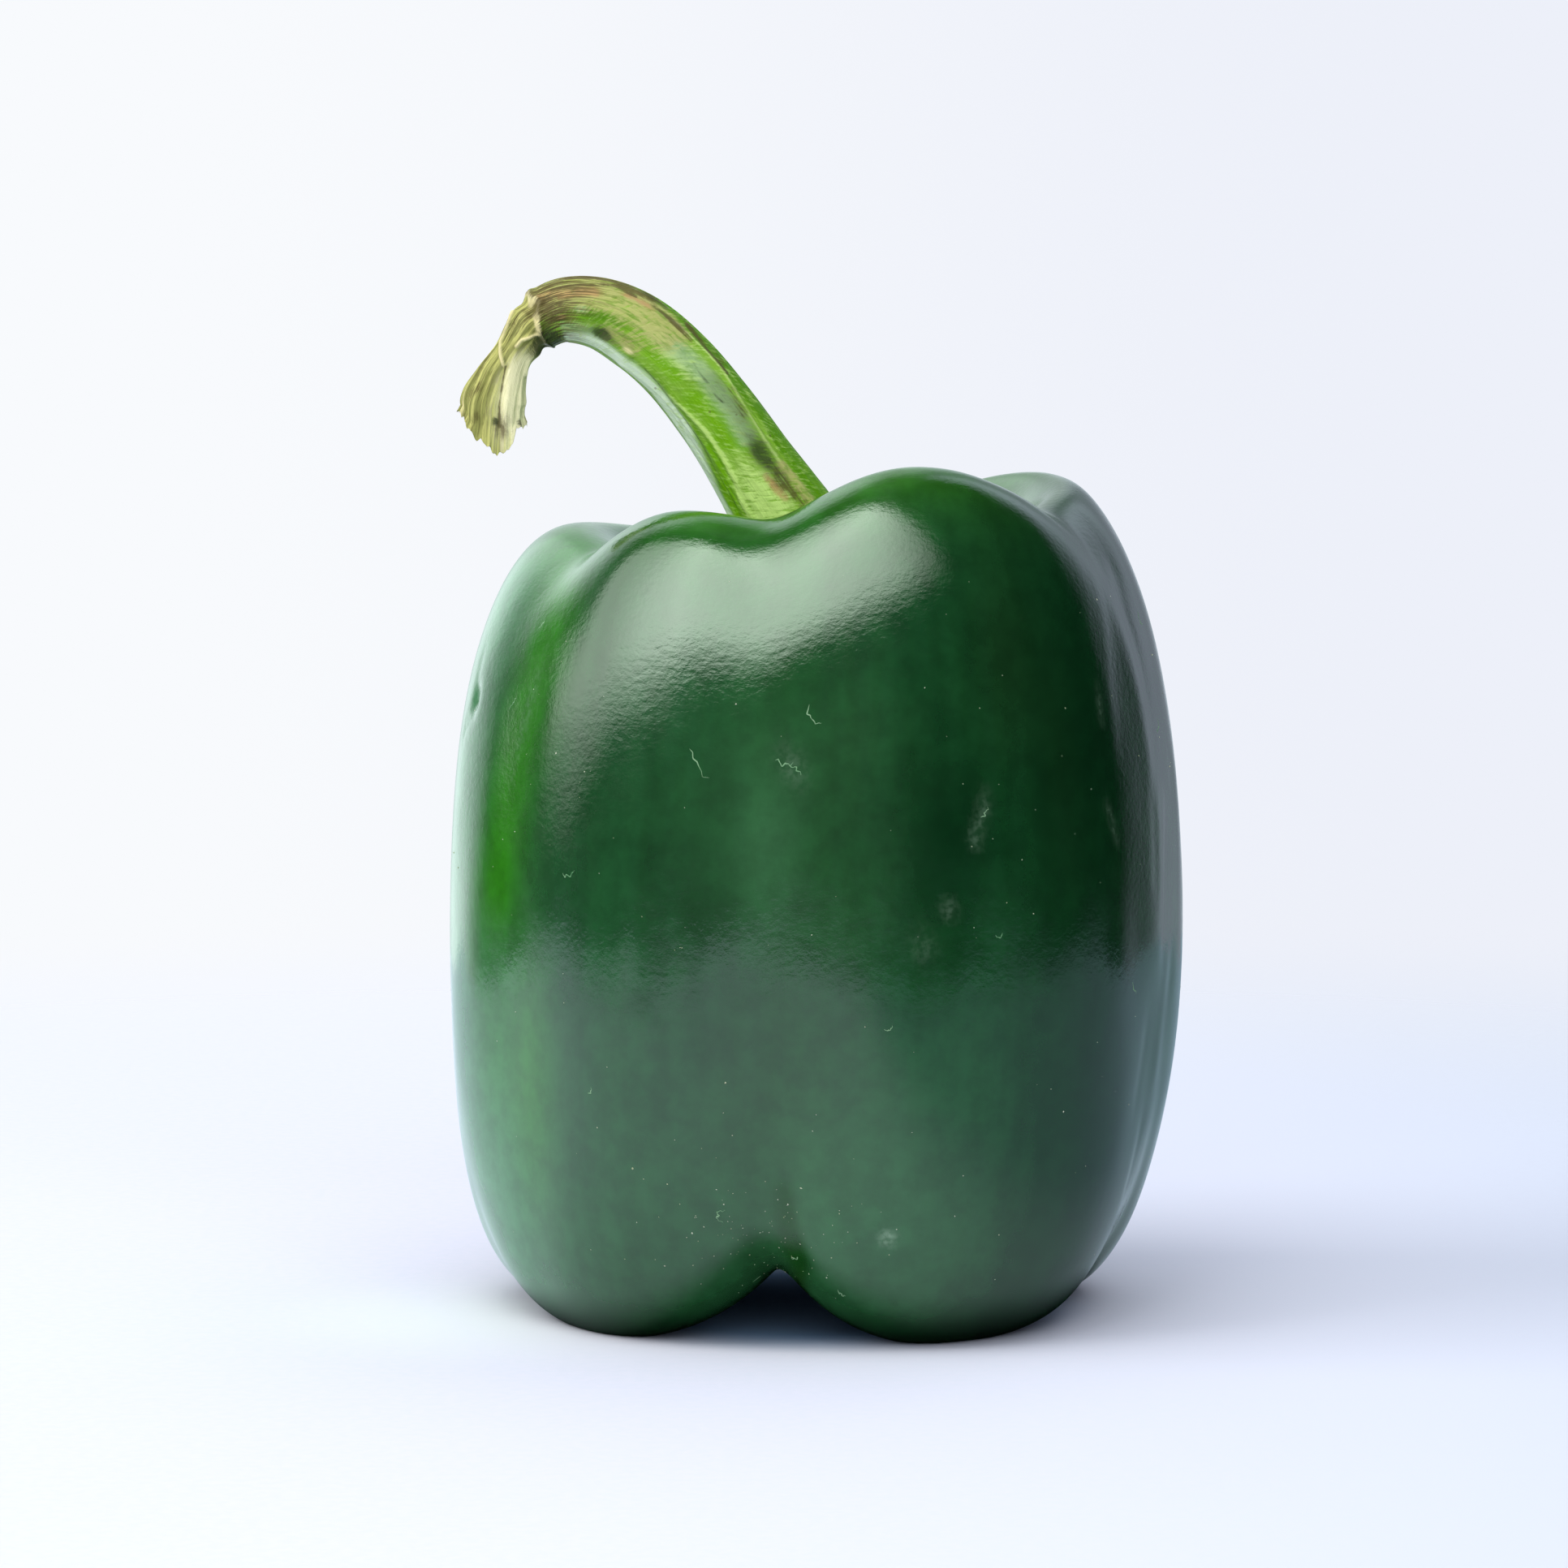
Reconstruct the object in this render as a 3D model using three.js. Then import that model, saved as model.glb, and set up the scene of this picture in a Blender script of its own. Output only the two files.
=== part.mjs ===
// A four-lobed green bell pepper as picked, standing on its own feet: the fruit, and the calyx with its bent stem.
// Millimetres, +Z up. The origin is the middle of the underside. The front is -Y.
// Azimuths are in degrees from +X towards +Y.
import * as THREE from "three";

// The fruit is drawn by three rings round its axis.
// Each knot is [azimuth, reach from the axis, height], furrow and lobe in turn, a furrow first.
const CREST_KNOTS = [
  [-154, 25.0, 87.3],
  [-126, 25.5, 93.2],
  [-103, 23.5, 91.7],
  [-68, 24.5, 98.2],
  [-24, 23.8, 91.7],
  [32, 28.5, 96.0],
  [95, 22.0, 85.2],
  [170, 27.6, 90.4],
];
const WAIST_KNOTS = [
  [-149, 40.0, 42.0],
  [-120, 42.2, 41.0],
  [-96, 41.0, 42.0],
  [-58, 42.8, 44.0],
  [-20, 39.6, 44.0],
  [28, 43.7, 46.0],
  [95, 37.5, 44.0],
  [173, 43.1, 41.0],
];
const FOOT_KNOTS = [
  [-174, 26.5, 1.0],
  [-143, 28.8, -1.0],
  [-100, 21.5, 8.6],
  [-60, 27.0, -0.9],
  [-8, 26.5, 4.0],
  [36, 29.0, -1.2],
  [95, 20.0, 7.5],
  [160, 28.0, -0.9],
];
// How far each ring is rounded off, in degrees, and how sharply its furrows meet: 0 is a round trough, 3 a cleft.
const CREST_STYLE = { rounding: 4.5, crease: 1.6 };
const WAIST_STYLE = { rounding: 6.0, crease: 1.0 };
const FOOT_STYLE = { rounding: 2.4, crease: 2.4 };
// How square the side is above and below the waist: [azimuth, superellipse power], blended round the fruit.
const UPPER_SQUARENESS = [
  [-122, 2.4],
  [-56, 2.3],
  [32, 1.8],
  [172, 2.45],
];
const LOWER_SQUARENESS = [
  [-122, 2.6],
  [-56, 2.4],
  [32, 1.95],
  [172, 2.7],
];
const SQUARENESS_FOCUS = 3;
const HOLLOW_FLOOR = 79; // height of the hollow that the calyx sits in
const HOLLOW_STEEPNESS = 2; // 1 is a round bowl; more is a flatter floor with steeper walls
const SCAR_HEIGHT = 15; // height of the blossom scar under the fruit
const HEAD_SHIFT = 0.6; // how far the axis has moved along X at the hollow
const GROUND = 0; // the feet are flat where they would pass this height

// Grid of the fruit, from the middle of the hollow over the shoulder and down to the blossom scar.
const FRUIT_SIDES = 88;
const HOLLOW_ROWS = 8;
const SHOULDER_ROWS = 13;
const FLANK_ROWS = 13;
const SOLE_ROWS = 8;
const SMOOTHING_PASSES = 2;
const ROUNDING_REACH = 3; // in widths of the rounding
const ROUNDING_SAMPLES = 61;

// Centre of the stem by stations: [x, y, z, half width in the plane of the bend, half width across it].
const STEM_STATIONS = [
  [0.6, 0.0, 83.2, 7.1, 7.1],
  [0.1, 0.0, 85.2, 6.0, 6.0],
  [-1.7, 0.1, 88.6, 5.3, 5.3],
  [-4.4, 0.2, 92.6, 5.0, 5.0],
  [-7.2, 0.3, 96.5, 4.8, 4.9],
  [-11.6, 0.4, 102.8, 4.6, 4.8],
  [-16.1, 0.4, 108.2, 4.5, 4.7],
  [-20.5, 0.3, 111.9, 4.5, 4.6],
  [-25.0, 0.1, 114.2, 4.1, 4.3],
  [-29.3, 0.0, 114.5, 3.7, 4.0],
  [-32.2, 0.0, 113.0, 3.3, 3.6],
  [-33.6, 0.0, 111.4, 2.7, 2.8],
  [-34.9, 0.0, 109.5, 2.3, 2.2],
  [-36.2, 0.0, 106.8, 3.0, 2.4],
  [-37.1, 0.0, 103.8, 3.6, 2.6],
  [-37.3, 0.0, 101.4, 3.6, 2.5],
];
const STEM_SIDES = 44;
const STEM_ROWS = 40;
const RIB_COUNT = 6;
const RIB_HEIGHT = 0.055; // as a share of the half width
const RIB_TWIST = 0.7; // how far the ribs turn from the calyx to the torn end, in radians
// The torn dry end: a pointed skirt round a shallow hollow.
const TEAR_POINT = 3.4; // how much further the middle of the skirt reaches than its sides
const TEAR_SLANT = 0.5; // how much shorter the outer side is
const TEAR_TEETH = 5;
const TEAR_DEPTH = 0.6;
const TEAR_HOLLOW = 1.6;
const TEAR_LIP = 0.62; // inner edge of the skirt, as a share of its half width

// The calyx is a star pressed on the floor of the hollow.
const CALYX_REACH = 11.4;
const CALYX_POINT = 2.9; // how much further each point reaches
const CALYX_POINTS = 6;
const POINT_SHARPNESS = 3;
const CALYX_EDGE = 0.9; // thickness at the rim
const CALYX_HEART = 2.2; // thickness where the stem grows from it
const CALYX_INNER = 0.66; // where its top meets the stem, as a share of its reach
const CALYX_ROWS = 5;
const SEAT_GAP = 0.4; // clearance between the calyx and the fruit

const SKIN = { color: 0x1f4f24, roughness: 0.22, metalness: 0 };
const STEM_SKIN = { color: 0x7f9c3c, roughness: 0.6, metalness: 0 };

const radians = THREE.MathUtils.degToRad;
const TURN = 2 * Math.PI;

// Wraps an angle into 0 to one turn.
function wrap(angle) {
  return ((angle % TURN) + TURN) % TURN;
}

// One value of a ring at an azimuth: it leaves each lobe level and reaches the furrow at a slope set by crease.
function rawRing(knots, column, crease, azimuth) {
  for (let i = 0; i < knots.length; i += 1) {
    const next = (i + 1) % knots.length;
    const start = radians(knots[i][0]);
    const span = wrap(radians(knots[next][0]) - start);
    const offset = wrap(azimuth - start);
    if (offset < span) {
      const furrowFirst = i % 2 === 0;
      const along = furrowFirst ? 1 - offset / span : offset / span;
      const ease = (3 - crease) * along ** 2 + (crease - 2) * along ** 3;
      const [lobe, furrow] = furrowFirst ? [knots[next], knots[i]] : [knots[i], knots[next]];
      return THREE.MathUtils.lerp(lobe[column], furrow[column], ease);
    }
  }
  return knots[0][column];
}

// The ring's reach and height at an azimuth, averaged over its neighbourhood with a bell-shaped weight.
function ringAt(knots, style, azimuth) {
  const sigma = radians(style.rounding);
  let reach = 0;
  let height = 0;
  let total = 0;
  for (let i = 0; i < ROUNDING_SAMPLES; i += 1) {
    const away = ROUNDING_REACH * ((2 * i) / (ROUNDING_SAMPLES - 1) - 1);
    const weight = Math.exp(-0.5 * away ** 2);
    reach += weight * rawRing(knots, 1, style.crease, azimuth + away * sigma);
    height += weight * rawRing(knots, 2, style.crease, azimuth + away * sigma);
    total += weight;
  }
  return { reach: reach / total, height: height / total };
}

// A value given for a few azimuths, blended round the fruit.
function blendedAt(pairs, azimuth) {
  let sum = 0;
  let total = 0;
  for (const [place, value] of pairs) {
    const weight = Math.exp(SQUARENESS_FOCUS * (Math.cos(azimuth - radians(place)) - 1));
    sum += weight * value;
    total += weight;
  }
  return sum / total;
}

// One meridian as [reach, height] pairs, from the middle of the hollow to the blossom scar.
function meridian(azimuth) {
  const crest = ringAt(CREST_KNOTS, CREST_STYLE, azimuth);
  const waist = ringAt(WAIST_KNOTS, WAIST_STYLE, azimuth);
  const foot = ringAt(FOOT_KNOTS, FOOT_STYLE, azimuth);
  const upper = 2 / blendedAt(UPPER_SQUARENESS, azimuth);
  const lower = 2 / blendedAt(LOWER_SQUARENESS, azimuth);
  const points = [];
  for (let row = 0; row < HOLLOW_ROWS; row += 1) {
    const out = row / HOLLOW_ROWS;
    const rise = Math.sin((Math.PI / 2) * out ** HOLLOW_STEEPNESS) ** 2;
    points.push([crest.reach * out, THREE.MathUtils.lerp(HOLLOW_FLOOR, crest.height, rise)]);
  }
  for (let row = 0; row < SHOULDER_ROWS; row += 1) {
    const turn = ((row / SHOULDER_ROWS) * Math.PI) / 2;
    const reach = THREE.MathUtils.lerp(crest.reach, waist.reach, Math.sin(turn) ** upper);
    points.push([reach, THREE.MathUtils.lerp(waist.height, crest.height, Math.cos(turn) ** upper)]);
  }
  for (let row = 0; row < FLANK_ROWS; row += 1) {
    const turn = ((row / FLANK_ROWS) * Math.PI) / 2;
    const reach = THREE.MathUtils.lerp(foot.reach, waist.reach, Math.cos(turn) ** lower);
    points.push([reach, THREE.MathUtils.lerp(waist.height, foot.height, Math.sin(turn) ** lower)]);
  }
  for (let row = 0; row <= SOLE_ROWS; row += 1) {
    const out = 1 - row / SOLE_ROWS;
    const drop = Math.sin((Math.PI / 2) * out) ** 2;
    points.push([foot.reach * out, THREE.MathUtils.lerp(SCAR_HEIGHT, foot.height, drop)]);
  }
  return points;
}

// Averages each point of a line with its two neighbours, in the weights of a cubic B-spline. The ends stay.
function smoothed(points) {
  return points.map((point, i) => {
    if (i === 0 || i === points.length - 1) {
      return point;
    }
    return point.map((value, axis) => (points[i - 1][axis] + 4 * value + points[i + 1][axis]) / 6);
  });
}

// The axis leans towards +X as it rises.
function axisX(height) {
  return (HEAD_SHIFT * height) / HOLLOW_FLOOR;
}

// All meridians of the fruit, as [reach, height] pairs.
function fruitMeridians() {
  return Array.from({ length: FRUIT_SIDES }, (_, side) => {
    let points = meridian((side / FRUIT_SIDES) * TURN);
    for (let pass = 0; pass < SMOOTHING_PASSES; pass += 1) {
      points = smoothed(points);
    }
    return points;
  });
}

// A closed surface from columns of points that share their first and their last point.
// Rows run along each column, and columns go round anticlockwise as seen from the first point's side.
function closedSurface(columns) {
  const sides = columns.length;
  const inner = columns[0].length - 2;
  const positions = [...columns[0][0], ...columns[0][inner + 1]];
  for (const column of columns) {
    for (let row = 1; row <= inner; row += 1) {
      positions.push(...column[row]);
    }
  }
  const at = (side, row) => 2 + (side % sides) * inner + row;
  const faces = [];
  for (let side = 0; side < sides; side += 1) {
    faces.push(0, at(side, 0), at(side + 1, 0));
    for (let row = 0; row < inner - 1; row += 1) {
      faces.push(at(side, row), at(side, row + 1), at(side + 1, row + 1));
      faces.push(at(side, row), at(side + 1, row + 1), at(side + 1, row));
    }
    faces.push(1, at(side + 1, inner - 1), at(side, inner - 1));
  }
  const geometry = new THREE.BufferGeometry();
  geometry.setAttribute("position", new THREE.Float32BufferAttribute(positions, 3));
  geometry.setIndex(faces);
  geometry.computeVertexNormals();
  return geometry;
}

// The fruit's surface: every meridian set round the leaning axis, with flat spots where the feet meet the ground.
function fruitGeometry(meridians) {
  const columns = meridians.map((points, side) => {
    const azimuth = (side / FRUIT_SIDES) * TURN;
    return points.map(([reach, height]) => {
      const raised = Math.max(height, GROUND);
      return [axisX(height) + reach * Math.cos(azimuth), reach * Math.sin(azimuth), raised];
    });
  });
  return closedSurface(columns);
}

// Height of the hollow's floor at a reach, read off the fruit's own meridian on that side.
function floorHeight(meridians, azimuth, reach) {
  const side = Math.round((azimuth / TURN) * FRUIT_SIDES) % FRUIT_SIDES;
  const points = meridians[side];
  const outer = points.findIndex((point) => point[0] > reach);
  const [nearReach, nearHeight] = points[outer - 1];
  const [farReach, farHeight] = points[outer];
  return THREE.MathUtils.mapLinear(reach, nearReach, farReach, nearHeight, farHeight);
}

// Reach of the calyx's rim: a round heart with a point for each sepal.
function calyxReach(azimuth) {
  return CALYX_REACH + CALYX_POINT * Math.abs(Math.cos((azimuth * CALYX_POINTS) / 2)) ** POINT_SHARPNESS;
}

// One column of the calyx: out along its underside from the middle, over the rim and back up to the stem.
function calyxColumn(meridians, azimuth) {
  const rim = calyxReach(azimuth);
  const place = (reach, rise) => {
    const height = floorHeight(meridians, azimuth, reach) + SEAT_GAP;
    return [axisX(height) + reach * Math.cos(azimuth), reach * Math.sin(azimuth), height + rise];
  };
  const points = [];
  for (let row = 0; row <= CALYX_ROWS; row += 1) {
    points.push(place((rim * row) / CALYX_ROWS, 0));
  }
  for (let row = 0; row < CALYX_ROWS; row += 1) {
    const inward = row / (CALYX_ROWS - 1);
    const reach = rim * THREE.MathUtils.lerp(1, CALYX_INNER, inward);
    points.push(place(reach, THREE.MathUtils.lerp(CALYX_EDGE, CALYX_HEART, inward)));
  }
  return points;
}

// Rings of the stem: each station's section set square to the curve through the stations.
function stemRings() {
  const path = new THREE.CatmullRomCurve3(STEM_STATIONS.map(([x, y, z]) => new THREE.Vector3(x, y, z)));
  const girth = new THREE.CatmullRomCurve3(STEM_STATIONS.map((s) => new THREE.Vector3(s[3], s[4], 0)));
  const across = new THREE.Vector3(0, 1, 0);
  return Array.from({ length: STEM_ROWS + 1 }, (_, row) => {
    const along = row / STEM_ROWS;
    const tangent = path.getTangent(along);
    return {
      along,
      centre: path.getPoint(along),
      tangent,
      inPlane: new THREE.Vector3().crossVectors(across, tangent).normalize(),
      across,
      size: girth.getPoint(along),
    };
  });
}

// A point of a ring at an azimuth, at a share of its half width, moved on along the stem.
function ringPoint(ring, azimuth, share, onward) {
  const rib = 1 + RIB_HEIGHT * Math.cos(RIB_COUNT * (azimuth + RIB_TWIST * ring.along));
  const point = ring.centre.clone();
  point.addScaledVector(ring.inPlane, share * rib * ring.size.x * Math.cos(azimuth));
  point.addScaledVector(ring.across, share * rib * ring.size.y * Math.sin(azimuth));
  point.addScaledVector(ring.tangent, onward);
  return point.toArray();
}

// How far the torn skirt reaches past the last station at an azimuth.
function tearReach(azimuth) {
  const teeth = TEAR_DEPTH * Math.cos(TEAR_TEETH * azimuth);
  return TEAR_POINT * Math.sin(azimuth) ** 2 - TEAR_SLANT * Math.cos(azimuth) + teeth;
}

// The calyx, the stem and its torn end as one grown piece.
function stemGeometry(meridians) {
  const rings = stemRings();
  const last = rings[rings.length - 1];
  const end = ringPoint(last, 0, 0, TEAR_POINT - TEAR_HOLLOW);
  const columns = Array.from({ length: STEM_SIDES }, (_, side) => {
    const azimuth = (side / STEM_SIDES) * TURN;
    const reach = tearReach(azimuth);
    return [
      ...calyxColumn(meridians, azimuth),
      ...rings.map((ring) => ringPoint(ring, azimuth, 1, 0)),
      ringPoint(last, azimuth, 1, reach),
      ringPoint(last, azimuth, TEAR_LIP, reach - TEAR_HOLLOW / 2),
      end,
    ];
  });
  // The columns start under the calyx, so the rows run from the underside up and the order round is turned.
  return closedSurface(columns.reverse());
}

// A named mesh with its own finish.
function piece(name, geometry, finish) {
  const mesh = new THREE.Mesh(geometry, new THREE.MeshStandardMaterial(finish));
  mesh.name = name;
  return mesh;
}

const meridians = fruitMeridians();
const fruit = piece("fruit", fruitGeometry(meridians), SKIN);
const stem = piece("stem", stemGeometry(meridians), STEM_SKIN);

const pepper = new THREE.Group();
pepper.add(fruit, stem);
const middle = new THREE.Box3().setFromObject(pepper).getCenter(new THREE.Vector3());
pepper.position.set(-middle.x, -middle.y, 0);

export default pepper;
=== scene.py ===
"""Looks of a green bell pepper with four lobes, standing on its feet in a plain pale studio.

The fruit and the stem are closed surfaces worked out with numpy from the same rings, stations and
formulas as the solids that they replace. Lengths inside the classes are in millimetres, and the
meshes are written in metres. Azimuths run from +X towards +Y, and the front is -Y.
"""

import logging
import math
from dataclasses import dataclass, field
from enum import Enum

import bpy
import numpy as np
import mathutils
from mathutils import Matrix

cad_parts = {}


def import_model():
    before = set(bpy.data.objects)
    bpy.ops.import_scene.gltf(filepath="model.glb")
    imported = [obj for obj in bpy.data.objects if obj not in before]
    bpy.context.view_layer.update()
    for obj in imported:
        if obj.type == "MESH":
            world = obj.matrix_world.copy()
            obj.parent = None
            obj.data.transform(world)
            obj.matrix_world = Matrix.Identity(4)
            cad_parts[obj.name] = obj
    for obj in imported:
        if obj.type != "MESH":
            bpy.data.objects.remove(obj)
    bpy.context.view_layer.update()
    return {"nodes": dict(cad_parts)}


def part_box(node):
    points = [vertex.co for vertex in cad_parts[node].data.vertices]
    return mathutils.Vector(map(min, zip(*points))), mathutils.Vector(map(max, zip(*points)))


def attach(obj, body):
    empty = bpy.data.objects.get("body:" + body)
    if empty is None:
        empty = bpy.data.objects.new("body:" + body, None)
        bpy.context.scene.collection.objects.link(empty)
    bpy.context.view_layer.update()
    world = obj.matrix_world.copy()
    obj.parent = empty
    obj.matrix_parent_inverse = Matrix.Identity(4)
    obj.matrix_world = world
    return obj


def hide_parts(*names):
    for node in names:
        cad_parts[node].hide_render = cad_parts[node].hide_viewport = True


LOG = logging.getLogger("pepper")
MM = 0.001
TURN = 2 * math.pi

Array = np.ndarray
Material = bpy.types.Material
Node = bpy.types.Node
Piece = bpy.types.Object
Socket = bpy.types.NodeSocket
Sockets = bpy.types.bpy_prop_collection
Tree = bpy.types.NodeTree
Feed = float | tuple[float, ...] | Socket
Inputs = dict[str | int, Feed]
Pair = tuple[float, float]
Pairs = tuple[Pair, ...]
Vector = tuple[float, float, float]
Colour = Vector
Span = tuple[float, float, float, float]
Patch = tuple[str, Socket, float, float]


# Small formulas shared by the shapes


def bell(value: Array, centre: float | Array, width: float) -> Array:
    """A bell curve: e to the minus of the squared distance from the centre, in widths."""
    return np.exp(-(((value - centre) / width) ** 2))


def ease(value: Array, low: float, high: float) -> Array:
    """A smooth step from 0 at low to 1 at high: three times the square less twice the cube."""
    share = np.clip((value - low) / (high - low), 0, 1)
    return share**2 * (3 - 2 * share)


def unit(vectors: Array) -> Array:
    """Vectors divided by their length."""
    return vectors / np.maximum(np.linalg.norm(vectors, axis=-1, keepdims=True), 1e-12)


def columns_round(count: int) -> Array:
    """Angles of a number of columns, evenly round the turn from 0."""
    return np.arange(count) / count * TURN


def turned(angle: Array, centre: float | Array) -> Array:
    """The signed angle from the centre to an angle, between minus and plus half a turn."""
    return (angle - centre + math.pi) % TURN - math.pi


def waves(first: Array, second: Array, seed: int, count: int, most: tuple[int, float]) -> Array:
    """Gentle unevenness: the mean of sine waves of seeded direction and phase.

    Args:
        first: an angle round the piece, in radians, so that the waves close on themselves.
        second: a coordinate along the piece.
        seed: seed of the random draw.
        count: number of waves.
        most: the most waves per turn, and the most radians per unit of the second coordinate.

    Returns:
        Values of about -1 to 1, with the shape of the two coordinates together.
    """
    draw = np.random.default_rng(seed)
    round_count = draw.integers(-most[0], most[0] + 1, count)
    along_count = draw.uniform(-most[1], most[1], count)
    phase = draw.uniform(0, TURN, count)
    total = np.zeros(np.broadcast(first, second).shape)
    for k in range(count):
        total += np.sin(round_count[k] * first + along_count[k] * second + phase[k])
    return total / math.sqrt(count)


def catmull_rom(points: Array, along: Array) -> Array:
    """A centripetal curve through points, each stretch a cubic with the slopes of its neighbours.

    Args:
        points: the points, one row each.
        along: places on the curve, from 0 to 1, each stretch having an equal share.

    Returns:
        One row for each place.
    """
    padded = np.vstack([2 * points[0] - points[1], points, 2 * points[-1] - points[-2]])
    place = np.clip(along, 0, 1) * (len(points) - 1)
    stretch = np.minimum(place.astype(int), len(points) - 2)
    share = (place - stretch)[:, None]
    before, start, end, after = (padded[stretch + k] for k in range(4))
    stretches = ((before, start), (start, end), (end, after))
    gaps = [np.linalg.norm(b - a, axis=1)[:, None] ** 0.5 for a, b in stretches]
    middle = np.where(gaps[1] < 1e-4, 1.0, gaps[1])
    first = np.where(gaps[0] < 1e-4, middle, gaps[0])
    last = np.where(gaps[2] < 1e-4, middle, gaps[2])
    leave = (start - before) / first - (end - before) / (first + middle) + (end - start) / middle
    arrive = (end - start) / middle - (after - start) / (middle + last) + (after - end) / last
    leave, arrive = leave * middle, arrive * middle
    cubic = 2 * start - 2 * end + leave + arrive
    square = 3 * end - 3 * start - 2 * leave - arrive
    return cubic * share**3 + square * share**2 + leave * share + start


# Meshes


@dataclass
class ClosedSurface:
    """A closed surface of columns that share their first and last point.

    Attributes:
        points: positions in metres, as sides by rows by 3. Columns run anticlockwise as seen from
            outside the first point.
        fields: named values over the surface, as sides by rows.
    """

    points: Array
    fields: dict[str, Array] = field(default_factory=dict)

    def order(self, values: Array) -> Array:
        """Values over the grid in the order of the vertices: both poles, then every inner point."""
        inner = values[:, 1:-1].reshape(-1, *values.shape[2:])
        return np.concatenate([values[:1, 0], values[:1, -1], inner])

    def faces(self) -> tuple[Array, Array]:
        """Corners of the quads and of the triangles round the poles, as vertex numbers."""
        sides, rows = self.points.shape[:2]
        inner = rows - 2
        side = np.arange(sides)
        following = (side + 1) % sides
        rank = np.arange(inner - 1)
        here = 2 + side[:, None] * inner + rank
        there = 2 + following[:, None] * inner + rank
        quads = np.stack([here, here + 1, there + 1, there], -1).reshape(-1, 4)
        first = np.stack([np.zeros(sides, int), 2 + side * inner, 2 + following * inner], -1)
        lowest = inner - 1
        last = np.stack([np.ones(sides, int), 2 + following * inner + lowest, 2 + side * inner + lowest], -1)
        return quads, np.concatenate([first, last])

    def corner_uv(self) -> Array:
        """A place on a flat map for each face corner: share of the turn, and share of the rows."""
        sides, rows = self.points.shape[:2]
        side, rank = np.meshgrid(np.arange(sides), np.arange(1, rows - 2), indexing="ij")
        round_share = np.stack([side, side, side + 1, side + 1], -1) / sides
        along_share = np.stack([rank, rank + 1, rank + 1, rank], -1) / (rows - 1)
        quads = np.stack([round_share, along_share], -1).reshape(-1, 2)
        edge = np.arange(sides)
        top = np.stack([(edge + 0.5) / sides, edge / sides, (edge + 1) / sides], -1)
        low = np.stack([(edge + 0.5) / sides, (edge + 1) / sides, edge / sides], -1)
        step = 1 / (rows - 1)
        top_rows = np.broadcast_to([0, step, step], top.shape)
        low_rows = np.broadcast_to([1, 1 - step, 1 - step], low.shape)
        top_map = np.stack([top, top_rows], -1).reshape(-1, 2)
        low_map = np.stack([low, low_rows], -1).reshape(-1, 2)
        return np.concatenate([quads, top_map, low_map])

    def build(self, name: str) -> Piece:
        """The surface as an object at the origin, smooth shaded, with its map and its fields."""
        quads, triangles = self.faces()
        piece = mesh_object(name, self.order(self.points), quads, triangles)
        layer = piece.data.uv_layers.new(name="wrap")
        layer.data.foreach_set("uv", self.corner_uv().astype(np.float32).ravel())
        for label, values in self.fields.items():
            store = piece.data.attributes.new(label, "FLOAT", "POINT")
            spread = np.broadcast_to(values, self.points.shape[:2])
            store.data.foreach_set("value", self.order(spread).astype(np.float32))
        return piece


def mesh_object(name: str, points: Array, quads: Array, triangles: Array) -> Piece:
    """A smooth shaded mesh object at the origin.

    Args:
        name: the piece's name.
        points: positions in metres.
        quads: vertex numbers of the four-sided faces.
        triangles: vertex numbers of the three-sided faces.

    Returns:
        The object, linked to the scene.
    """
    mesh = bpy.data.meshes.new(name)
    counts = np.concatenate([np.full(len(quads), 4), np.full(len(triangles), 3)])
    starts = np.concatenate([[0], np.cumsum(counts)[:-1]])
    corners = np.concatenate([quads.ravel(), triangles.ravel()])
    mesh.vertices.add(len(points))
    mesh.vertices.foreach_set("co", points.astype(np.float32).ravel())
    mesh.loops.add(len(corners))
    mesh.loops.foreach_set("vertex_index", corners.astype(np.int32))
    mesh.polygons.add(len(counts))
    mesh.polygons.foreach_set("loop_start", starts.astype(np.int32))
    mesh.polygons.foreach_set("loop_total", counts.astype(np.int32))
    mesh.polygons.foreach_set("use_smooth", np.ones(len(counts), bool))
    mesh.update(calc_edges=True)
    mesh.validate()
    piece = bpy.data.objects.new(name, mesh)
    bpy.context.scene.collection.objects.link(piece)
    return piece


def grid_normals(points: Array) -> Array:
    """Outward unit normals of a grid of columns: the rows' direction crossed with the way round."""
    down = np.gradient(points, axis=1)
    onward = np.roll(points, -1, 0) - np.roll(points, 1, 0)
    return unit(np.cross(down, onward))


# Marks drawn on a round surface


@dataclass(frozen=True)
class Spot:
    """A soft oval on a surface.

    Attributes:
        along: its place along the piece.
        azimuth: its place round the piece, in degrees.
        half_length: half its length, in millimetres.
        half_width: half its width.
        strength: its value in the middle.
        tilt: how far its length is turned from the piece's, in degrees.
    """

    along: float
    azimuth: float
    half_length: float
    half_width: float
    strength: float = 1.0
    tilt: float = 0.0


@dataclass(frozen=True)
class Stroke:
    """A soft line on a surface, through places along the piece and azimuths in degrees."""

    places: Pairs
    half_width: float
    strength: float = 1.0


Drawing = tuple[Spot | Stroke, ...]
Drawings = tuple[tuple[str, Drawing], ...]


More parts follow.
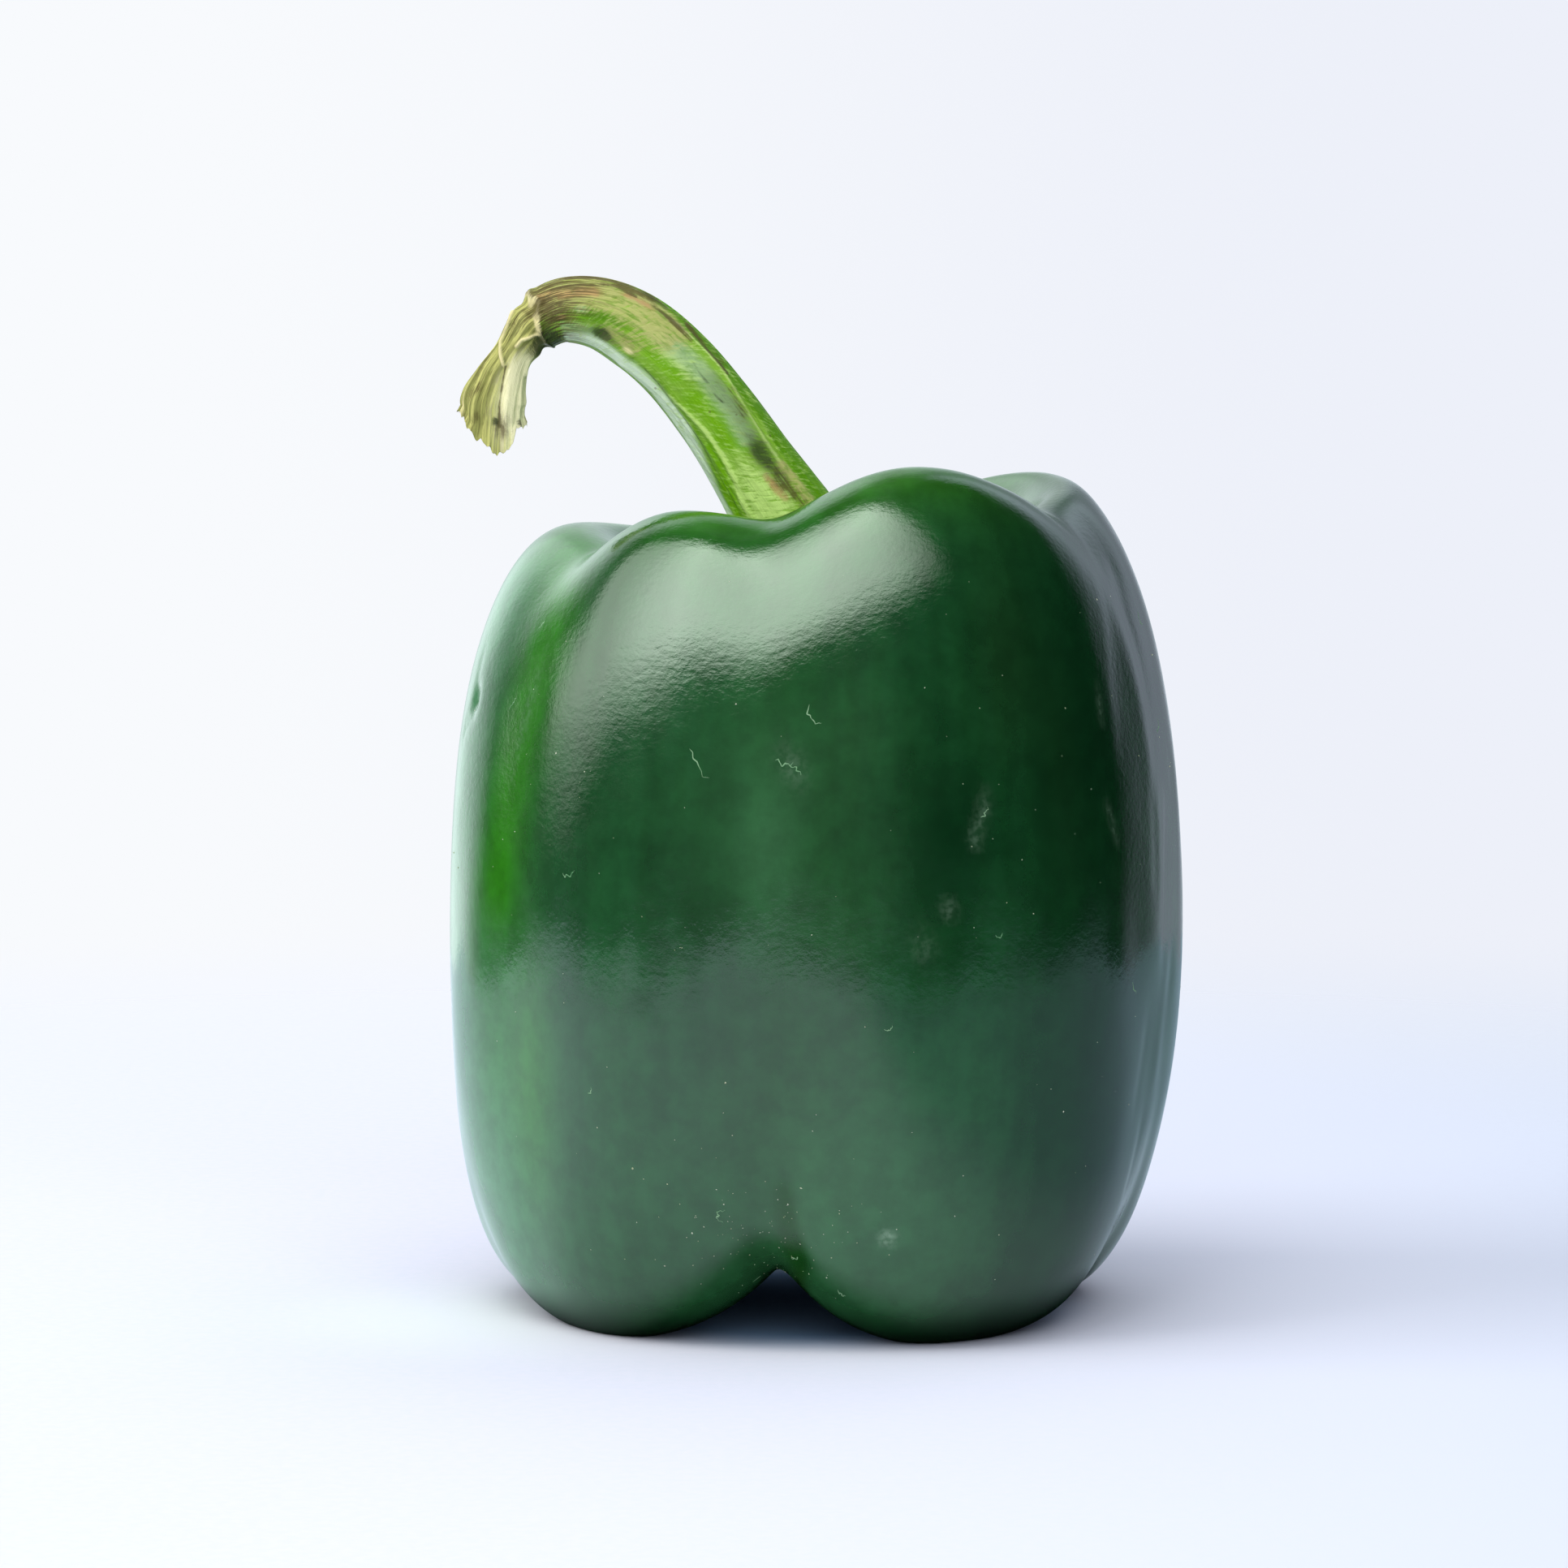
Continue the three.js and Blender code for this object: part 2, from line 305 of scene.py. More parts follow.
@dataclass(frozen=True)
class FlatMap:
    """A round surface laid flat, where spots and strokes are drawn.

    Attributes:
        places: rising numbers by which marks name their place along the piece.
        lengths: millimetres along the piece at each of them.
        far: millimetres along the piece at each point.
        azimuth: azimuth of each point.
        girth: distance of each point from the piece's middle line.
    """

    places: Array
    lengths: Array
    far: Array
    azimuth: Array
    girth: Array

    def from_place(self, along: float, azimuth: float) -> tuple[Array, Array]:
        """How far on along the piece, and how far round, every point is from a place."""
        onward = self.far - np.interp(along, self.places, self.lengths)
        return onward, turned(self.azimuth, math.radians(azimuth)) * self.girth

    def spot(self, spot: Spot) -> Array:
        """A spot's value at every point: its strength times e to the minus of the oval's square."""
        onward, aside = self.from_place(spot.along, spot.azimuth)
        cosine, sine = math.cos(math.radians(spot.tilt)), math.sin(math.radians(spot.tilt))
        lengthwise = (onward * cosine + aside * sine) / spot.half_length
        crosswise = (aside * cosine - onward * sine) / spot.half_width
        return spot.strength * np.exp(-(lengthwise**2) - crosswise**2)

    def stroke(self, stroke: Stroke) -> Array:
        """A stroke's value at every point: a bell curve over the distance to its nearest stretch."""
        nearest = np.full(self.far.shape, np.inf)
        for start, end in zip(stroke.places, stroke.places[1:]):
            onward, aside = self.from_place(*start)
            run = float(np.diff(np.interp((start[0], end[0]), self.places, self.lengths))[0])
            swing = math.radians(end[1] - start[1]) * self.girth
            share = np.clip((onward * run + aside * swing) / (run**2 + swing**2 + 1e-9), 0, 1)
            nearest = np.minimum(nearest, (onward - share * run) ** 2 + (aside - share * swing) ** 2)
        return stroke.strength * np.exp(-nearest / stroke.half_width**2)

    def draw(self, marks: Drawing) -> Array:
        """The sum of several marks."""
        total = np.zeros(self.far.shape)
        for mark in marks:
            total = total + (self.spot(mark) if isinstance(mark, Spot) else self.stroke(mark))
        return total

    def masks(self, drawings: Drawings) -> dict[str, Array]:
        """Several named drawings, each kept from 0 to 1."""
        return {name: np.clip(self.draw(marks), 0, 1) for name, marks in drawings}


# The fruit


@dataclass(frozen=True)
class Ring:
    """A ring of knots round the fruit, furrow and lobe in turn, a furrow first.

    Attributes:
        knots: azimuth in degrees, reach from the axis and height in millimetres.
        rounding: how far the ring is rounded off, in degrees.
        crease: how sharply its furrows meet, from 0 for a round trough to 3 for a cleft.
    """

    knots: tuple[tuple[float, float, float], ...]
    rounding: float
    crease: float

    SAMPLES = 61
    REACH = 3.0

    def raw(self, azimuths: Array) -> Array:
        """Reach, height and depth in the furrow before rounding.

        Between a lobe and a furrow the value goes as (3 - crease) t squared + (crease - 2) t cubed,
        with t from 0 on the lobe to 1 in the furrow.

        Args:
            azimuths: azimuths in radians.

        Returns:
            The three values, stacked first.
        """
        out = np.zeros((3, *azimuths.shape))
        for index, knot in enumerate(self.knots):
            following = self.knots[(index + 1) % len(self.knots)]
            start = math.radians(knot[0])
            span = (math.radians(following[0]) - start) % TURN
            offset = (azimuths - start) % TURN
            furrow_first = index % 2 == 0
            along = 1 - offset / span if furrow_first else offset / span
            lobe, furrow = (following, knot) if furrow_first else (knot, following)
            way = (3 - self.crease) * along**2 + (self.crease - 2) * along**3
            values = [lobe[k] + (furrow[k] - lobe[k]) * way for k in (1, 2)]
            out = np.where(offset < span, np.stack([*values, along**2]), out)
        return out

    def values(self, azimuths: Array) -> Array:
        """Reach, height and depth in the furrow, averaged with a bell-shaped weight."""
        away = np.linspace(-self.REACH, self.REACH, self.SAMPLES)
        weight = np.exp(-0.5 * away**2)
        near = azimuths[None, :] + away[:, None] * math.radians(self.rounding)
        return (self.raw(near) * weight[None, :, None]).sum(1) / weight.sum()


@dataclass(frozen=True)
class Blend:
    """A value given at a few azimuths in degrees, blended round the fruit."""

    pairs: Pairs
    focus: float = 3.0

    def values(self, azimuths: Array) -> Array:
        """Each pair's value, weighted by e to the focus times (cosine of its distance less 1)."""
        places = np.radians([pair[0] for pair in self.pairs])
        weight = np.exp(self.focus * (np.cos(azimuths[:, None] - places) - 1))
        return (weight * [pair[1] for pair in self.pairs]).sum(1) / weight.sum(1)


@dataclass
class Fruit:
    """The pepper's body, one closed surface from the hollow to the blossom scar.

    Marks and the lines down the side are placed by height and azimuth. The squareness of each half of
    the side is the power of its superellipse. The solid has the rows that are given for its hollow,
    shoulder, flank and sole, and here they are finer by a whole number.
    """

    crest: Ring = Ring(
        (
            (-154, 25.0, 87.3), (-126, 25.5, 93.2), (-103, 23.5, 91.7), (-68, 24.5, 98.2),
            (-24, 23.8, 91.7), (32, 28.5, 96.0), (95, 22.0, 85.2), (170, 27.6, 90.4),
        ),
        4.5,
        1.6,
    )
    waist: Ring = Ring(
        (
            (-149, 40.0, 42.0), (-120, 42.2, 41.0), (-96, 41.0, 42.0), (-58, 42.8, 44.0),
            (-20, 39.6, 44.0), (28, 43.7, 46.0), (95, 37.5, 44.0), (173, 43.1, 41.0),
        ),
        6.0,
        1.0,
    )
    foot: Ring = Ring(
        (
            (-174, 26.5, 1.0), (-143, 28.8, -1.0), (-100, 21.5, 8.6), (-60, 27.0, -0.9),
            (-8, 26.5, 4.0), (36, 29.0, -1.2), (95, 20.0, 7.5), (160, 28.0, -0.9),
        ),
        2.4,
        2.4,
    )
    upper_squareness: Blend = Blend(((-122, 2.4), (-56, 2.3), (32, 1.8), (172, 2.45)))
    lower_squareness: Blend = Blend(((-122, 2.6), (-56, 2.4), (32, 1.95), (172, 2.7)))
    hollow_floor: float = 79.0
    hollow_steepness: float = 2.0
    scar_height: float = 15.0
    head_shift: float = 0.6
    sides: int = 480
    solid_rows: tuple[int, int, int, int] = (8, 13, 13, 8)
    fineness: int = 4
    solid_smoothing: int = 2
    unevenness: float = 0.14
    fine_share: float = 0.25
    notch_line: Pairs = ((0, -96), (9, -94), (13, -95.4), (18, -96.8))
    notch_half_width: float = 1.9
    notch_end: Pair = (12, 20)
    pleat_line: Pairs = ((0, -8), (45, -16), (75, -18), (92, -24))
    pleat_count: int = 34
    pleat_spread: float = 13.0
    pleat_depth: float = 0.018
    relief_marks: Drawing = (
        Stroke(((85, -12.4), (80.5, -15.5), (73.5, -16), (65.3, -16.8)), 1.8, -0.11),
        Stroke(((64.4, -17.3), (59.1, -20.8), (50, -21.1)), 1.3, -0.07),
        Stroke(((58.5, -10.7), (52.3, -14.4), (42.7, -15.6)), 1.6, -0.12),
        Stroke(((33.4, -22), (26.2, -24.5)), 1.3, -0.06),
        Stroke(((22.5, -18.3), (15.4, -19.3)), 1.2, -0.06),
        Stroke(((62, -5), (50, -8), (38, -9)), 1.6, -0.09),
        Stroke(((84, -28), (74, -34), (66, -36)), 1.6, 0.05), Stroke(((40, -12), (28, -14)), 1.5, 0.07),
        Spot(80, -154, 6, 4, 0.3), Spot(79, -137, 7, 4, -0.25),
        Stroke(((90, -27), (84, -25), (78, -22), (72, -20), (54, -20), (44, -20)), 5.5, 0.55),
        Stroke(((34, -95.5), (24, -95), (17, -95)), 2.6, -0.16),
        Stroke(((19, -96), (14, -95.2), (10, -94)), 1.6, -0.38), Spot(70.6, -171, 1, 1.2, -0.4, 20),
        Stroke(((71.2, -170.4), (69.4, -170.6), (67, -174.6)), 0.6, -0.2),
        Stroke(((75.5, -172.6), (72.5, -172)), 0.7, -0.08), Spot(52, 60, 1.6, 2.2, -0.22),
        Stroke(((44, 118), (36, 121)), 0.9, -0.16),
    )
    colour_marks: Drawings = (
        ("strip", (
            Spot(29, -144, 14, 4.5, 0.62),
            Stroke(((50, -155), (60, -153), (72, -149), (80, -148), (86, -152), (90, -157)), 5.6),
            Spot(89, -173, 2.4, 4.5, 0.7), Spot(34, -156, 14, 6, 0.35),
        )),
        # pale: partly the skin's lighter tone and partly painted light, on the left lobe lit from the left
        # and low at the front lit from the floor
        ("pale", (
            Spot(42, -180, 46, 13), Spot(14, -160, 16, 11, 0.5), Spot(82, -176, 8, 8, 0.6),
            Spot(56, -99, 10, 3.6, 0.22), Spot(30, -150, 18, 8, 0.38), Spot(15, -90, 13, 20, 0.2),
        )),
        # deep: partly the skin's darker tone and partly painted shade on the right side and the right foot,
        # away from the light
        ("deep", (
            Spot(57, -72, 14, 6, 0.8), Spot(70, -40, 34, 15), Spot(25, -40, 22, 14, 0.7),
            Spot(13, -32, 13, 12, 0.45), Spot(3, -52, 5, 10, 0.6), Spot(76, -10, 16, 9),
            Spot(60, -126, 9, 6, 0.4), Spot(92, 14, 9, 14),
        )),
        ("crease", (
            Stroke(((18.5, -96.2), (14, -95.2), (10, -94)), 1.1),
        )),
        ("olive", (
            Spot(77, -60, 11, 4.5, 0.5), Spot(66, -50, 13, 3.5, 0.4), Spot(50, -34, 10, 3, 0.3),
        )),
        ("bloom", (
            Stroke(((61.8, -65), (57.5, -67)), 0.7, 0.2), Stroke(((72.7, -38.8), (69.7, -39.1)), 0.6, 0.14),
            Stroke(((60.2, -39.9), (56.5, -37.2)), 0.6, 0.16), Spot(13.5, -79.1, 0.7, 0.9, 0.7),
            Spot(65.6, -95, 1.4, 2.2, 0.16, 60), Spot(50, -71, 0.8, 0.9, 0.2),
            Spot(46, -75, 1.6, 1.4, 0.12), Spot(70, -150, 6, 1, 0.2, 12), Spot(84.5, -161, 1.2, 1.2, 0.2),
        )),
    )
    azimuths: Array = field(init=False)
    meridians: Array = field(init=False)
    grid: Array = field(init=False)
    fields: dict[str, Array] = field(init=False)

    def __post_init__(self) -> None:
        """Works out the surface once, because the stem and the marks lie on it."""
        self.azimuths = columns_round(self.sides)
        self.meridians, furrow = self.rounded_meridians()
        self.grid = self.place(self.meridians)
        self.fields = self.tones(furrow)
        self.grid = self.relief()

    def stretches(self) -> list[Array]:
        """Each row's share of the way along the hollow, shoulder, flank or sole, one array for each."""
        counts = [rows * self.fineness for rows in self.solid_rows]
        return [np.arange(count) / count for count in counts]

    def rounded_meridians(self) -> tuple[Array, Array]:
        """Every meridian as reach and height, and how deep in a furrow each point lies.

        The hollow rises as the sine squared of a power of the way out. The side is two quarters of a
        superellipse, from crest to waist and from waist to foot. The sole rises as a sine squared.
        The rows are then averaged with their neighbours, as often as makes the solid's rounding.

        Returns:
            Meridians as sides by rows by 2, and furrow depths as sides by rows.
        """
        rings = (self.crest, self.waist, self.foot)
        crest, waist, foot = (ring.values(self.azimuths)[..., None] for ring in rings)
        upper = 2 / self.upper_squareness.values(self.azimuths)[:, None]
        lower = 2 / self.lower_squareness.values(self.azimuths)[:, None]
        hollow, shoulder, flank, sole = self.stretches()
        rise = np.sin(math.pi / 2 * hollow**self.hollow_steepness) ** 2
        turn = shoulder * math.pi / 2
        fall = flank * math.pi / 2
        out = 1 - np.append(sole, 1)
        drop = np.sin(math.pi / 2 * out) ** 2
        reach = [
            crest[0] * hollow,
            crest[0] + (waist[0] - crest[0]) * np.sin(turn) ** upper,
            foot[0] + (waist[0] - foot[0]) * np.cos(fall) ** lower,
            foot[0] * out,
        ]
        height = [
            self.hollow_floor + (crest[1] - self.hollow_floor) * rise,
            waist[1] + (crest[1] - waist[1]) * np.cos(turn) ** upper,
            waist[1] + (foot[1] - waist[1]) * np.sin(fall) ** lower,
            self.scar_height + (foot[1] - self.scar_height) * drop,
        ]
        depth = [
            crest[2] * hollow,
            crest[2] + (waist[2] - crest[2]) * shoulder,
            waist[2] + (foot[2] - waist[2]) * flank,
            foot[2] * out,
        ]
        rows = np.stack([np.concatenate(reach, 1), np.concatenate(height, 1)], -1)
        for _ in range(self.solid_smoothing * self.fineness**2):
            rows[:, 1:-1] = (rows[:, :-2] + 4 * rows[:, 1:-1] + rows[:, 2:]) / 6
        return rows, np.concatenate(depth, 1)

    def axis_x(self, height: Array) -> Array:
        """Where the axis is along X at a height: it leans as it rises."""
        return self.head_shift * height / self.hollow_floor

    def place(self, meridians: Array) -> Array:
        """Points of the meridians in space, with the feet flat on the ground."""
        reach, height = meridians[..., 0], meridians[..., 1]
        x = self.axis_x(height) + reach * np.cos(self.azimuths)[:, None]
        y = reach * np.sin(self.azimuths)[:, None]
        return np.stack([x, y, np.maximum(height, 0)], -1)

    def row_kind(self) -> Array:
        """Each row's place from 0 at the hollow to 4 at the scar, a whole number for each stretch."""
        parts = [k + share for k, share in enumerate(self.stretches())]
        return np.append(np.concatenate(parts), len(self.solid_rows))

    def line(self, course: Pairs) -> Array:
        """The angle of every point from a line drawn down the side through heights and azimuths."""
        heights, azimuths = np.array(course).T
        centre = np.radians(np.interp(self.meridians[..., 1], heights, azimuths))
        return turned(self.azimuths[:, None], centre)

    def tones(self, furrow: Array) -> dict[str, Array]:
        """Masks over the skin that its colour and gloss follow, each from 0 to 1."""
        height = self.meridians[..., 1]
        place = self.row_kind()[None, :]
        outside = ease(place, 0.6, 1.1) * (1 - ease(place, 3.2, 3.6))
        notch = bell(self.line(self.notch_line), 0.0, math.radians(self.notch_half_width))
        drawn = self.flat_map().masks(self.colour_marks)
        return {name: mask * outside for name, mask in drawn.items()} | {
            "furrow": furrow,
            # crest: partly the skin's yellower tone near the top and partly painted light from above
            "crest": bell(place, 1.0, 0.22) * (1 - 0.3 * furrow),
            "notch": notch * (1 - ease(height, *self.notch_end)) * outside,
            "hollow": 1 - ease(place, 0.2, 0.9),
            "scar": 1 - ease(self.meridians[..., 0], 1.2, 2.6),
        }

    def flat_map(self) -> FlatMap:
        """The fruit laid flat, where marks name their place by height."""
        height = self.meridians[..., 1]
        azimuth = np.broadcast_to(self.azimuths[:, None], height.shape)
        span = np.array([-10.0, 130.0])
        return FlatMap(span, span, height, azimuth, self.meridians[..., 0])

    def relief(self) -> Array:
        """The surface with its small unevenness, pleats and dents, moved along its normals."""
        height = self.meridians[..., 1]
        round_way = np.broadcast_to(self.azimuths[:, None], height.shape)
        place = self.row_kind()[None, :]
        side = ease(place, 0.9, 1.3) * (1 - ease(place, 2.5, 2.9))
        swell = waves(round_way, height, 7, 14, (9, 0.16)) * self.unevenness
        fine = waves(round_way, height, 11, 16, (26, 0.35)) * self.unevenness * self.fine_share
        angle = self.line(self.pleat_line)
        pleats = np.cos(angle * self.pleat_count + 0.02 * height)
        pleats = pleats * bell(angle, 0.0, math.radians(self.pleat_spread)) * self.pleat_depth
        outside = ease(place, 0.8, 1.2) * (1 - ease(place, 3.1, 3.5))
        drawn = self.flat_map().draw(self.relief_marks)
        move = (swell + fine + pleats) * side + drawn * outside
        moved = self.grid + grid_normals(self.grid) * move[..., None]
        moved[..., 2] = np.maximum(moved[..., 2], 0)
        return moved

    def floor_height(self, azimuths: Array, reach: Array) -> Array:
        """Height of the hollow's floor, read off the nearest meridian.

        Args:
            azimuths: one for each column of reach.
            reach: distances from the axis, as columns by rows.

        Returns:
            Heights in the shape of reach.
        """
        rows = self.solid_rows[0] * self.fineness
        columns = np.rint(azimuths / TURN * self.sides).astype(int) % self.sides
        reaches, heights = np.moveaxis(self.meridians[columns, :rows], -1, 0)
        return np.stack([np.interp(*column) for column in zip(reach, reaches, heights)])

    def build(self, offset: Array) -> Piece:
        """The fruit as an object.

        Args:
            offset: move in millimetres that centres the pepper.

        Returns:
            The finished piece.
        """
        return ClosedSurface((self.grid + offset) * MM, self.fields).build("fruit_skin")


# The stem


@dataclass
class Stem:
    """The calyx, the bent stem and its torn dry end, one closed surface.

    A station gives X, Y and Z of the middle line and the half widths in the bend and across it. Places
    along the stem are shares, from 0 at the calyx to 1 at the last ring. The rim gives azimuths and
    how far the skirt goes past that ring, and the tear line the share at which the green skin ends.
    The lip and the flare are shares of the last ring's width, in the torn hollow and at its rim.
    """

    fruit: Fruit
    stations: tuple[tuple[float, ...], ...] = (
        (0.6, 0.0, 83.2, 7.1, 7.1), (0.1, 0.0, 85.2, 6.0, 6.0), (-1.7, 0.1, 88.6, 5.3, 5.3),
        (-4.4, 0.2, 92.6, 5.0, 5.0), (-7.2, 0.3, 96.5, 4.8, 4.9), (-11.6, 0.4, 102.8, 4.6, 4.8),
        (-16.1, 0.4, 108.2, 4.5, 4.7), (-20.5, 0.3, 111.9, 4.5, 4.6), (-25.0, 0.1, 114.2, 4.1, 4.3),
        (-29.3, 0.0, 114.5, 3.7, 4.0), (-32.2, 0.0, 113.0, 3.3, 3.6), (-33.6, 0.0, 111.4, 2.7, 2.8),
        (-34.9, 0.0, 109.5, 2.3, 2.2), (-36.2, 0.0, 106.8, 3.0, 2.4), (-37.1, 0.0, 103.8, 3.6, 2.6),
        (-37.3, 0.0, 101.4, 3.6, 2.5),
    )
    sides: int = 192
    rings: int = 360
    calyx_rows: int = 18
    tear_rows: int = 12
    rib_count: int = 6
    rib_height: float = 0.26
    rib_twist: float = 0.7
    fibre_height: float = 0.045
    lump_height: float = 0.07
    lip_height: float = 0.34
    lip_groove: float = 0.42
    pleat_heights: Pair = (0.10, 0.08)
    pleat_count: int = 7
    tear_start: float = 0.86
    tear_slack: float = 0.8
    tear_rim: Pairs = (
        (0, -1.6), (33, -1.2), (63, 0.5), (86, 1.3), (106, 2.1), (129, 1.1), (133, -0.6), (165, -0.7),
        (195, -0.35), (226, -0.1), (230, 1.9), (236, 2.3), (254, 3.1), (266, 2.7), (276, 2.0), (297, 1.3),
        (327, -0.7), (345, -1.4),
    )
    tooth_size: float = 0.22
    tooth_count: float = 10.5
    sliver_size: float = 0.16
    tear_hollow: float = 1.6
    tear_lip: float = 0.56
    skirt_flare: float = 1.10
    rim_fold: float = 0.05
    tear_raggedness: float = 0.14
    tear_line: Pairs = (
        (0, 0.648), (60, 0.660), (120, 0.675), (180, 0.700), (225, 0.698), (246, 0.684), (252, 0.673),
        (276, 0.650), (307, 0.636), (318, 0.640), (340, 0.645),
    )
    calyx_reach: float = 11.4
    calyx_point: float = 2.9
    calyx_points: int = 6
    point_sharpness: float = 3.0
    calyx_edge: float = 0.9
    calyx_heart: float = 2.2
    calyx_inner: float = 0.66
    crinkle_height: float = 0.12
    vein_height: float = 0.25
    calyx_sink: float = 0.25
    seat_gap: float = 0.4
    relief_marks: Drawing = (
        Stroke((
            (0.16, 308), (0.244, 305), (0.287, 306), (0.315, 309), (0.365, 322), (0.43, 318), (0.52, 308),
        ), 0.45, 0.22),
        Stroke(((0.14, 226), (0.234, 229), (0.27, 239), (0.326, 243), (0.38, 233)), 0.45, 0.2),
        Stroke(((0.14, 172), (0.27, 184), (0.37, 196), (0.46, 208)), 0.85, 0.24),
        Stroke(((0.16, 204), (0.265, 212), (0.323, 220), (0.371, 222), (0.45, 232)), 0.45, -0.24),
        Stroke(((0.16, 300), (0.3, 297), (0.4, 292)), 0.8, -0.12),
        Stroke(((0.684, 246), (0.723, 260), (0.741, 269), (0.769, 271)), 0.28, 0.5),
        Stroke(((0.69, 332), (0.715, 326), (0.785, 321), (0.812, 300), (0.835, 275)), 0.22, 0.42),
        Stroke(((0.7, 228), (0.76, 216), (0.83, 205)), 0.35, 0.35),
        Stroke(((0.835, 270), (0.87, 262), (0.911, 257), (1, 254)), 0.34, -0.42),
        Stroke(((0.87, 300), (0.93, 294), (1, 290)), 0.3, -0.3),
        Stroke(((0.8, 80), (0.9, 95), (1, 100)), 0.5, -0.45), Spot(0.9, 316, 1.6, 1, -0.25),
        Spot(0.51, 243, 0.7, 0.5, -0.2), Spot(0.285, 291, 2.2, 0.8, -0.15), Spot(0.17, 182, 6, 4.5, 0.85),
        Spot(0.6, 0, 7, 6, -0.14),
    )
    colour_marks: Drawings = (
        ("vivid", (
            Stroke(((0.555, 268), (0.525, 268), (0.49, 272)), 1.1, 0.8),
            Stroke(((0.48, 264), (0.444, 262), (0.395, 262)), 1.2),
            Stroke(((0.36, 256), (0.333, 266), (0.312, 271)), 1.5),
            Stroke(((0.308, 258), (0.294, 272)), 1.1, 0.9),
            Stroke(((0.31, 232), (0.294, 230), (0.275, 224), (0.254, 213), (0.225, 198), (0.18, 192)), 0.9),
            Spot(0.235, 206, 4, 1.3),
        )),
        # leaf: partly the stem's own darker green streaks and partly painted shade down its right edge, away
        # from the light
        ("leaf", (
            Stroke(((0.47, 342), (0.317, 333), (0.254, 329), (0.18, 323)), 1.1),
            Stroke(((0.14, 352), (0.46, 352)), 1.4, 0.8),
            Stroke(((0.33, 229), (0.3, 217), (0.27, 200)), 0.45, 0.5),
            Stroke(((0.55, 266), (0.5, 270)), 1, 0.8),
        )),
        # pale: partly the stem's own paler streaks and rib lines, and partly painted light on the base by the
        # calyx
        ("pale", (
            Stroke((
                (0.38, 232), (0.359, 236), (0.326, 243), (0.296, 243), (0.27, 239), (0.234, 230),
                (0.18, 226),
            ), 0.26),
            Spot(0.405, 277, 4, 1.2, 0.6), Spot(0.445, 284, 2.6, 1, 0.65), Spot(0.212, 258, 4.4, 2.7),
            Spot(0.275, 262, 3, 1.7, 0.25),
            Stroke(((0.42, 321), (0.365, 322), (0.315, 310), (0.287, 306), (0.244, 305)), 0.22, 0.75),
        )),
        ("teal", (
            Stroke(((0.42, 289), (0.367, 293), (0.33, 290), (0.3, 286)), 1.5, 0.9),
            Stroke(((0.6, 240), (0.54, 236)), 0.9, 0.7), Spot(0.563, 273, 1, 0.5, 0.9),
        )),
        # rim: painted highlight, a near-white band along the stem's left edge where light and sheen fall
        ("rim", (
            Stroke((
                (0.16, 178), (0.27, 184), (0.3, 192), (0.343, 209), (0.44, 215), (0.51, 219), (0.6, 214),
            ), 1.05),
            Spot(0.35, 203, 6, 1.7, 0.35),
        )),
        ("tan", (
            Stroke(((0.62, 300), (0.557, 303), (0.515, 299), (0.475, 294), (0.44, 288)), 1.9),
            Spot(0.62, 330, 4, 3), Spot(0.53, 318, 5, 1.9), Spot(0.45, 312, 3.4, 1.4, 0.9),
            Stroke(((0.51, 246), (0.488, 250), (0.46, 249)), 1.1, 0.7), Spot(0.6, 20, 6, 3),
            Spot(0.62, 90, 4, 3), Stroke(((0.248, 305), (0.213, 308), (0.18, 308)), 0.8, 0.9),
        )),
        ("pink", (
            Stroke(((0.64, 311), (0.595, 303), (0.55, 308)), 0.9, 0.9), Spot(0.603, 259, 0.7, 0.35),
            Spot(0.49, 318, 2, 0.6, 0.8), Stroke(((0.25, 278), (0.224, 278), (0.204, 280)), 0.6, 0.6),
        )),
        ("brown", (
            Stroke(((0.635, 285), (0.6, 282)), 0.35, 0.8),
            Stroke(((0.605, 316), (0.558, 321), (0.521, 331), (0.498, 324)), 0.26, 0.9),
            Stroke(((0.64, 336), (0.56, 338), (0.5, 340), (0.42, 341), (0.37, 336)), 0.5, 0.4),
            Stroke(((0.505, 247), (0.485, 252), (0.463, 251)), 0.6, 0.35),
            Stroke(((0.343, 311), (0.318, 303)), 0.7, 0.55),
            Stroke(((0.425, 336), (0.393, 327), (0.36, 326)), 0.34, 0.95),
            Stroke(((0.26, 290), (0.225, 291), (0.207, 293), (0.18, 295)), 0.9, 0.65),
            Spot(0.64, 300, 2, 0.5, 0.7), Stroke(((0.47, 325), (0.44, 318), (0.41, 316)), 0.3, 0.6),
            Spot(0.905, 316, 1.1, 0.7, 0.7, 10), Spot(0.98, 302, 1, 0.7, 0.5), Spot(1.03, 248, 1.8, 1, 0.6),
            Spot(0.745, 292, 3.4, 1.8, 0.3), Spot(0.86, 330, 1.5, 0.5, 0.6),
            Stroke(((0.835, 270), (0.87, 262), (0.911, 257), (1, 254)), 0.14, 0.7),
            Spot(0.7, 315, 1.5, 0.5, 0.5),
            Stroke(((0.64, 352), (0.58, 350), (0.53, 347), (0.48, 343)), 1, 0.48),
            Spot(0.625, 262, 1.6, 1.8, 0.6), Spot(0.622, 298, 1.8, 1.4, 0.45), Spot(0.5, 330, 2, 0.8, 0.55),
            Spot(0.44, 322, 1.8, 0.5, 0.6),
        )),
        ("dark", (
            Spot(0.276, 290, 1.6, 1, 0.6),
            Stroke(((0.36, 297), (0.33, 298), (0.3, 295), (0.27, 291), (0.24, 292)), 1.9, 0.42),
            Spot(0.518, 242, 1.6, 0.9, 0.8), Spot(0.5, 238, 3, 0.6, 0.35), Spot(0.665, 218, 2.6, 2.3),
            Spot(0.715, 205, 2, 1.2, 0.9),
            Stroke(((0.43, 232), (0.37, 224), (0.32, 221), (0.24, 212)), 0.2, 0.55),
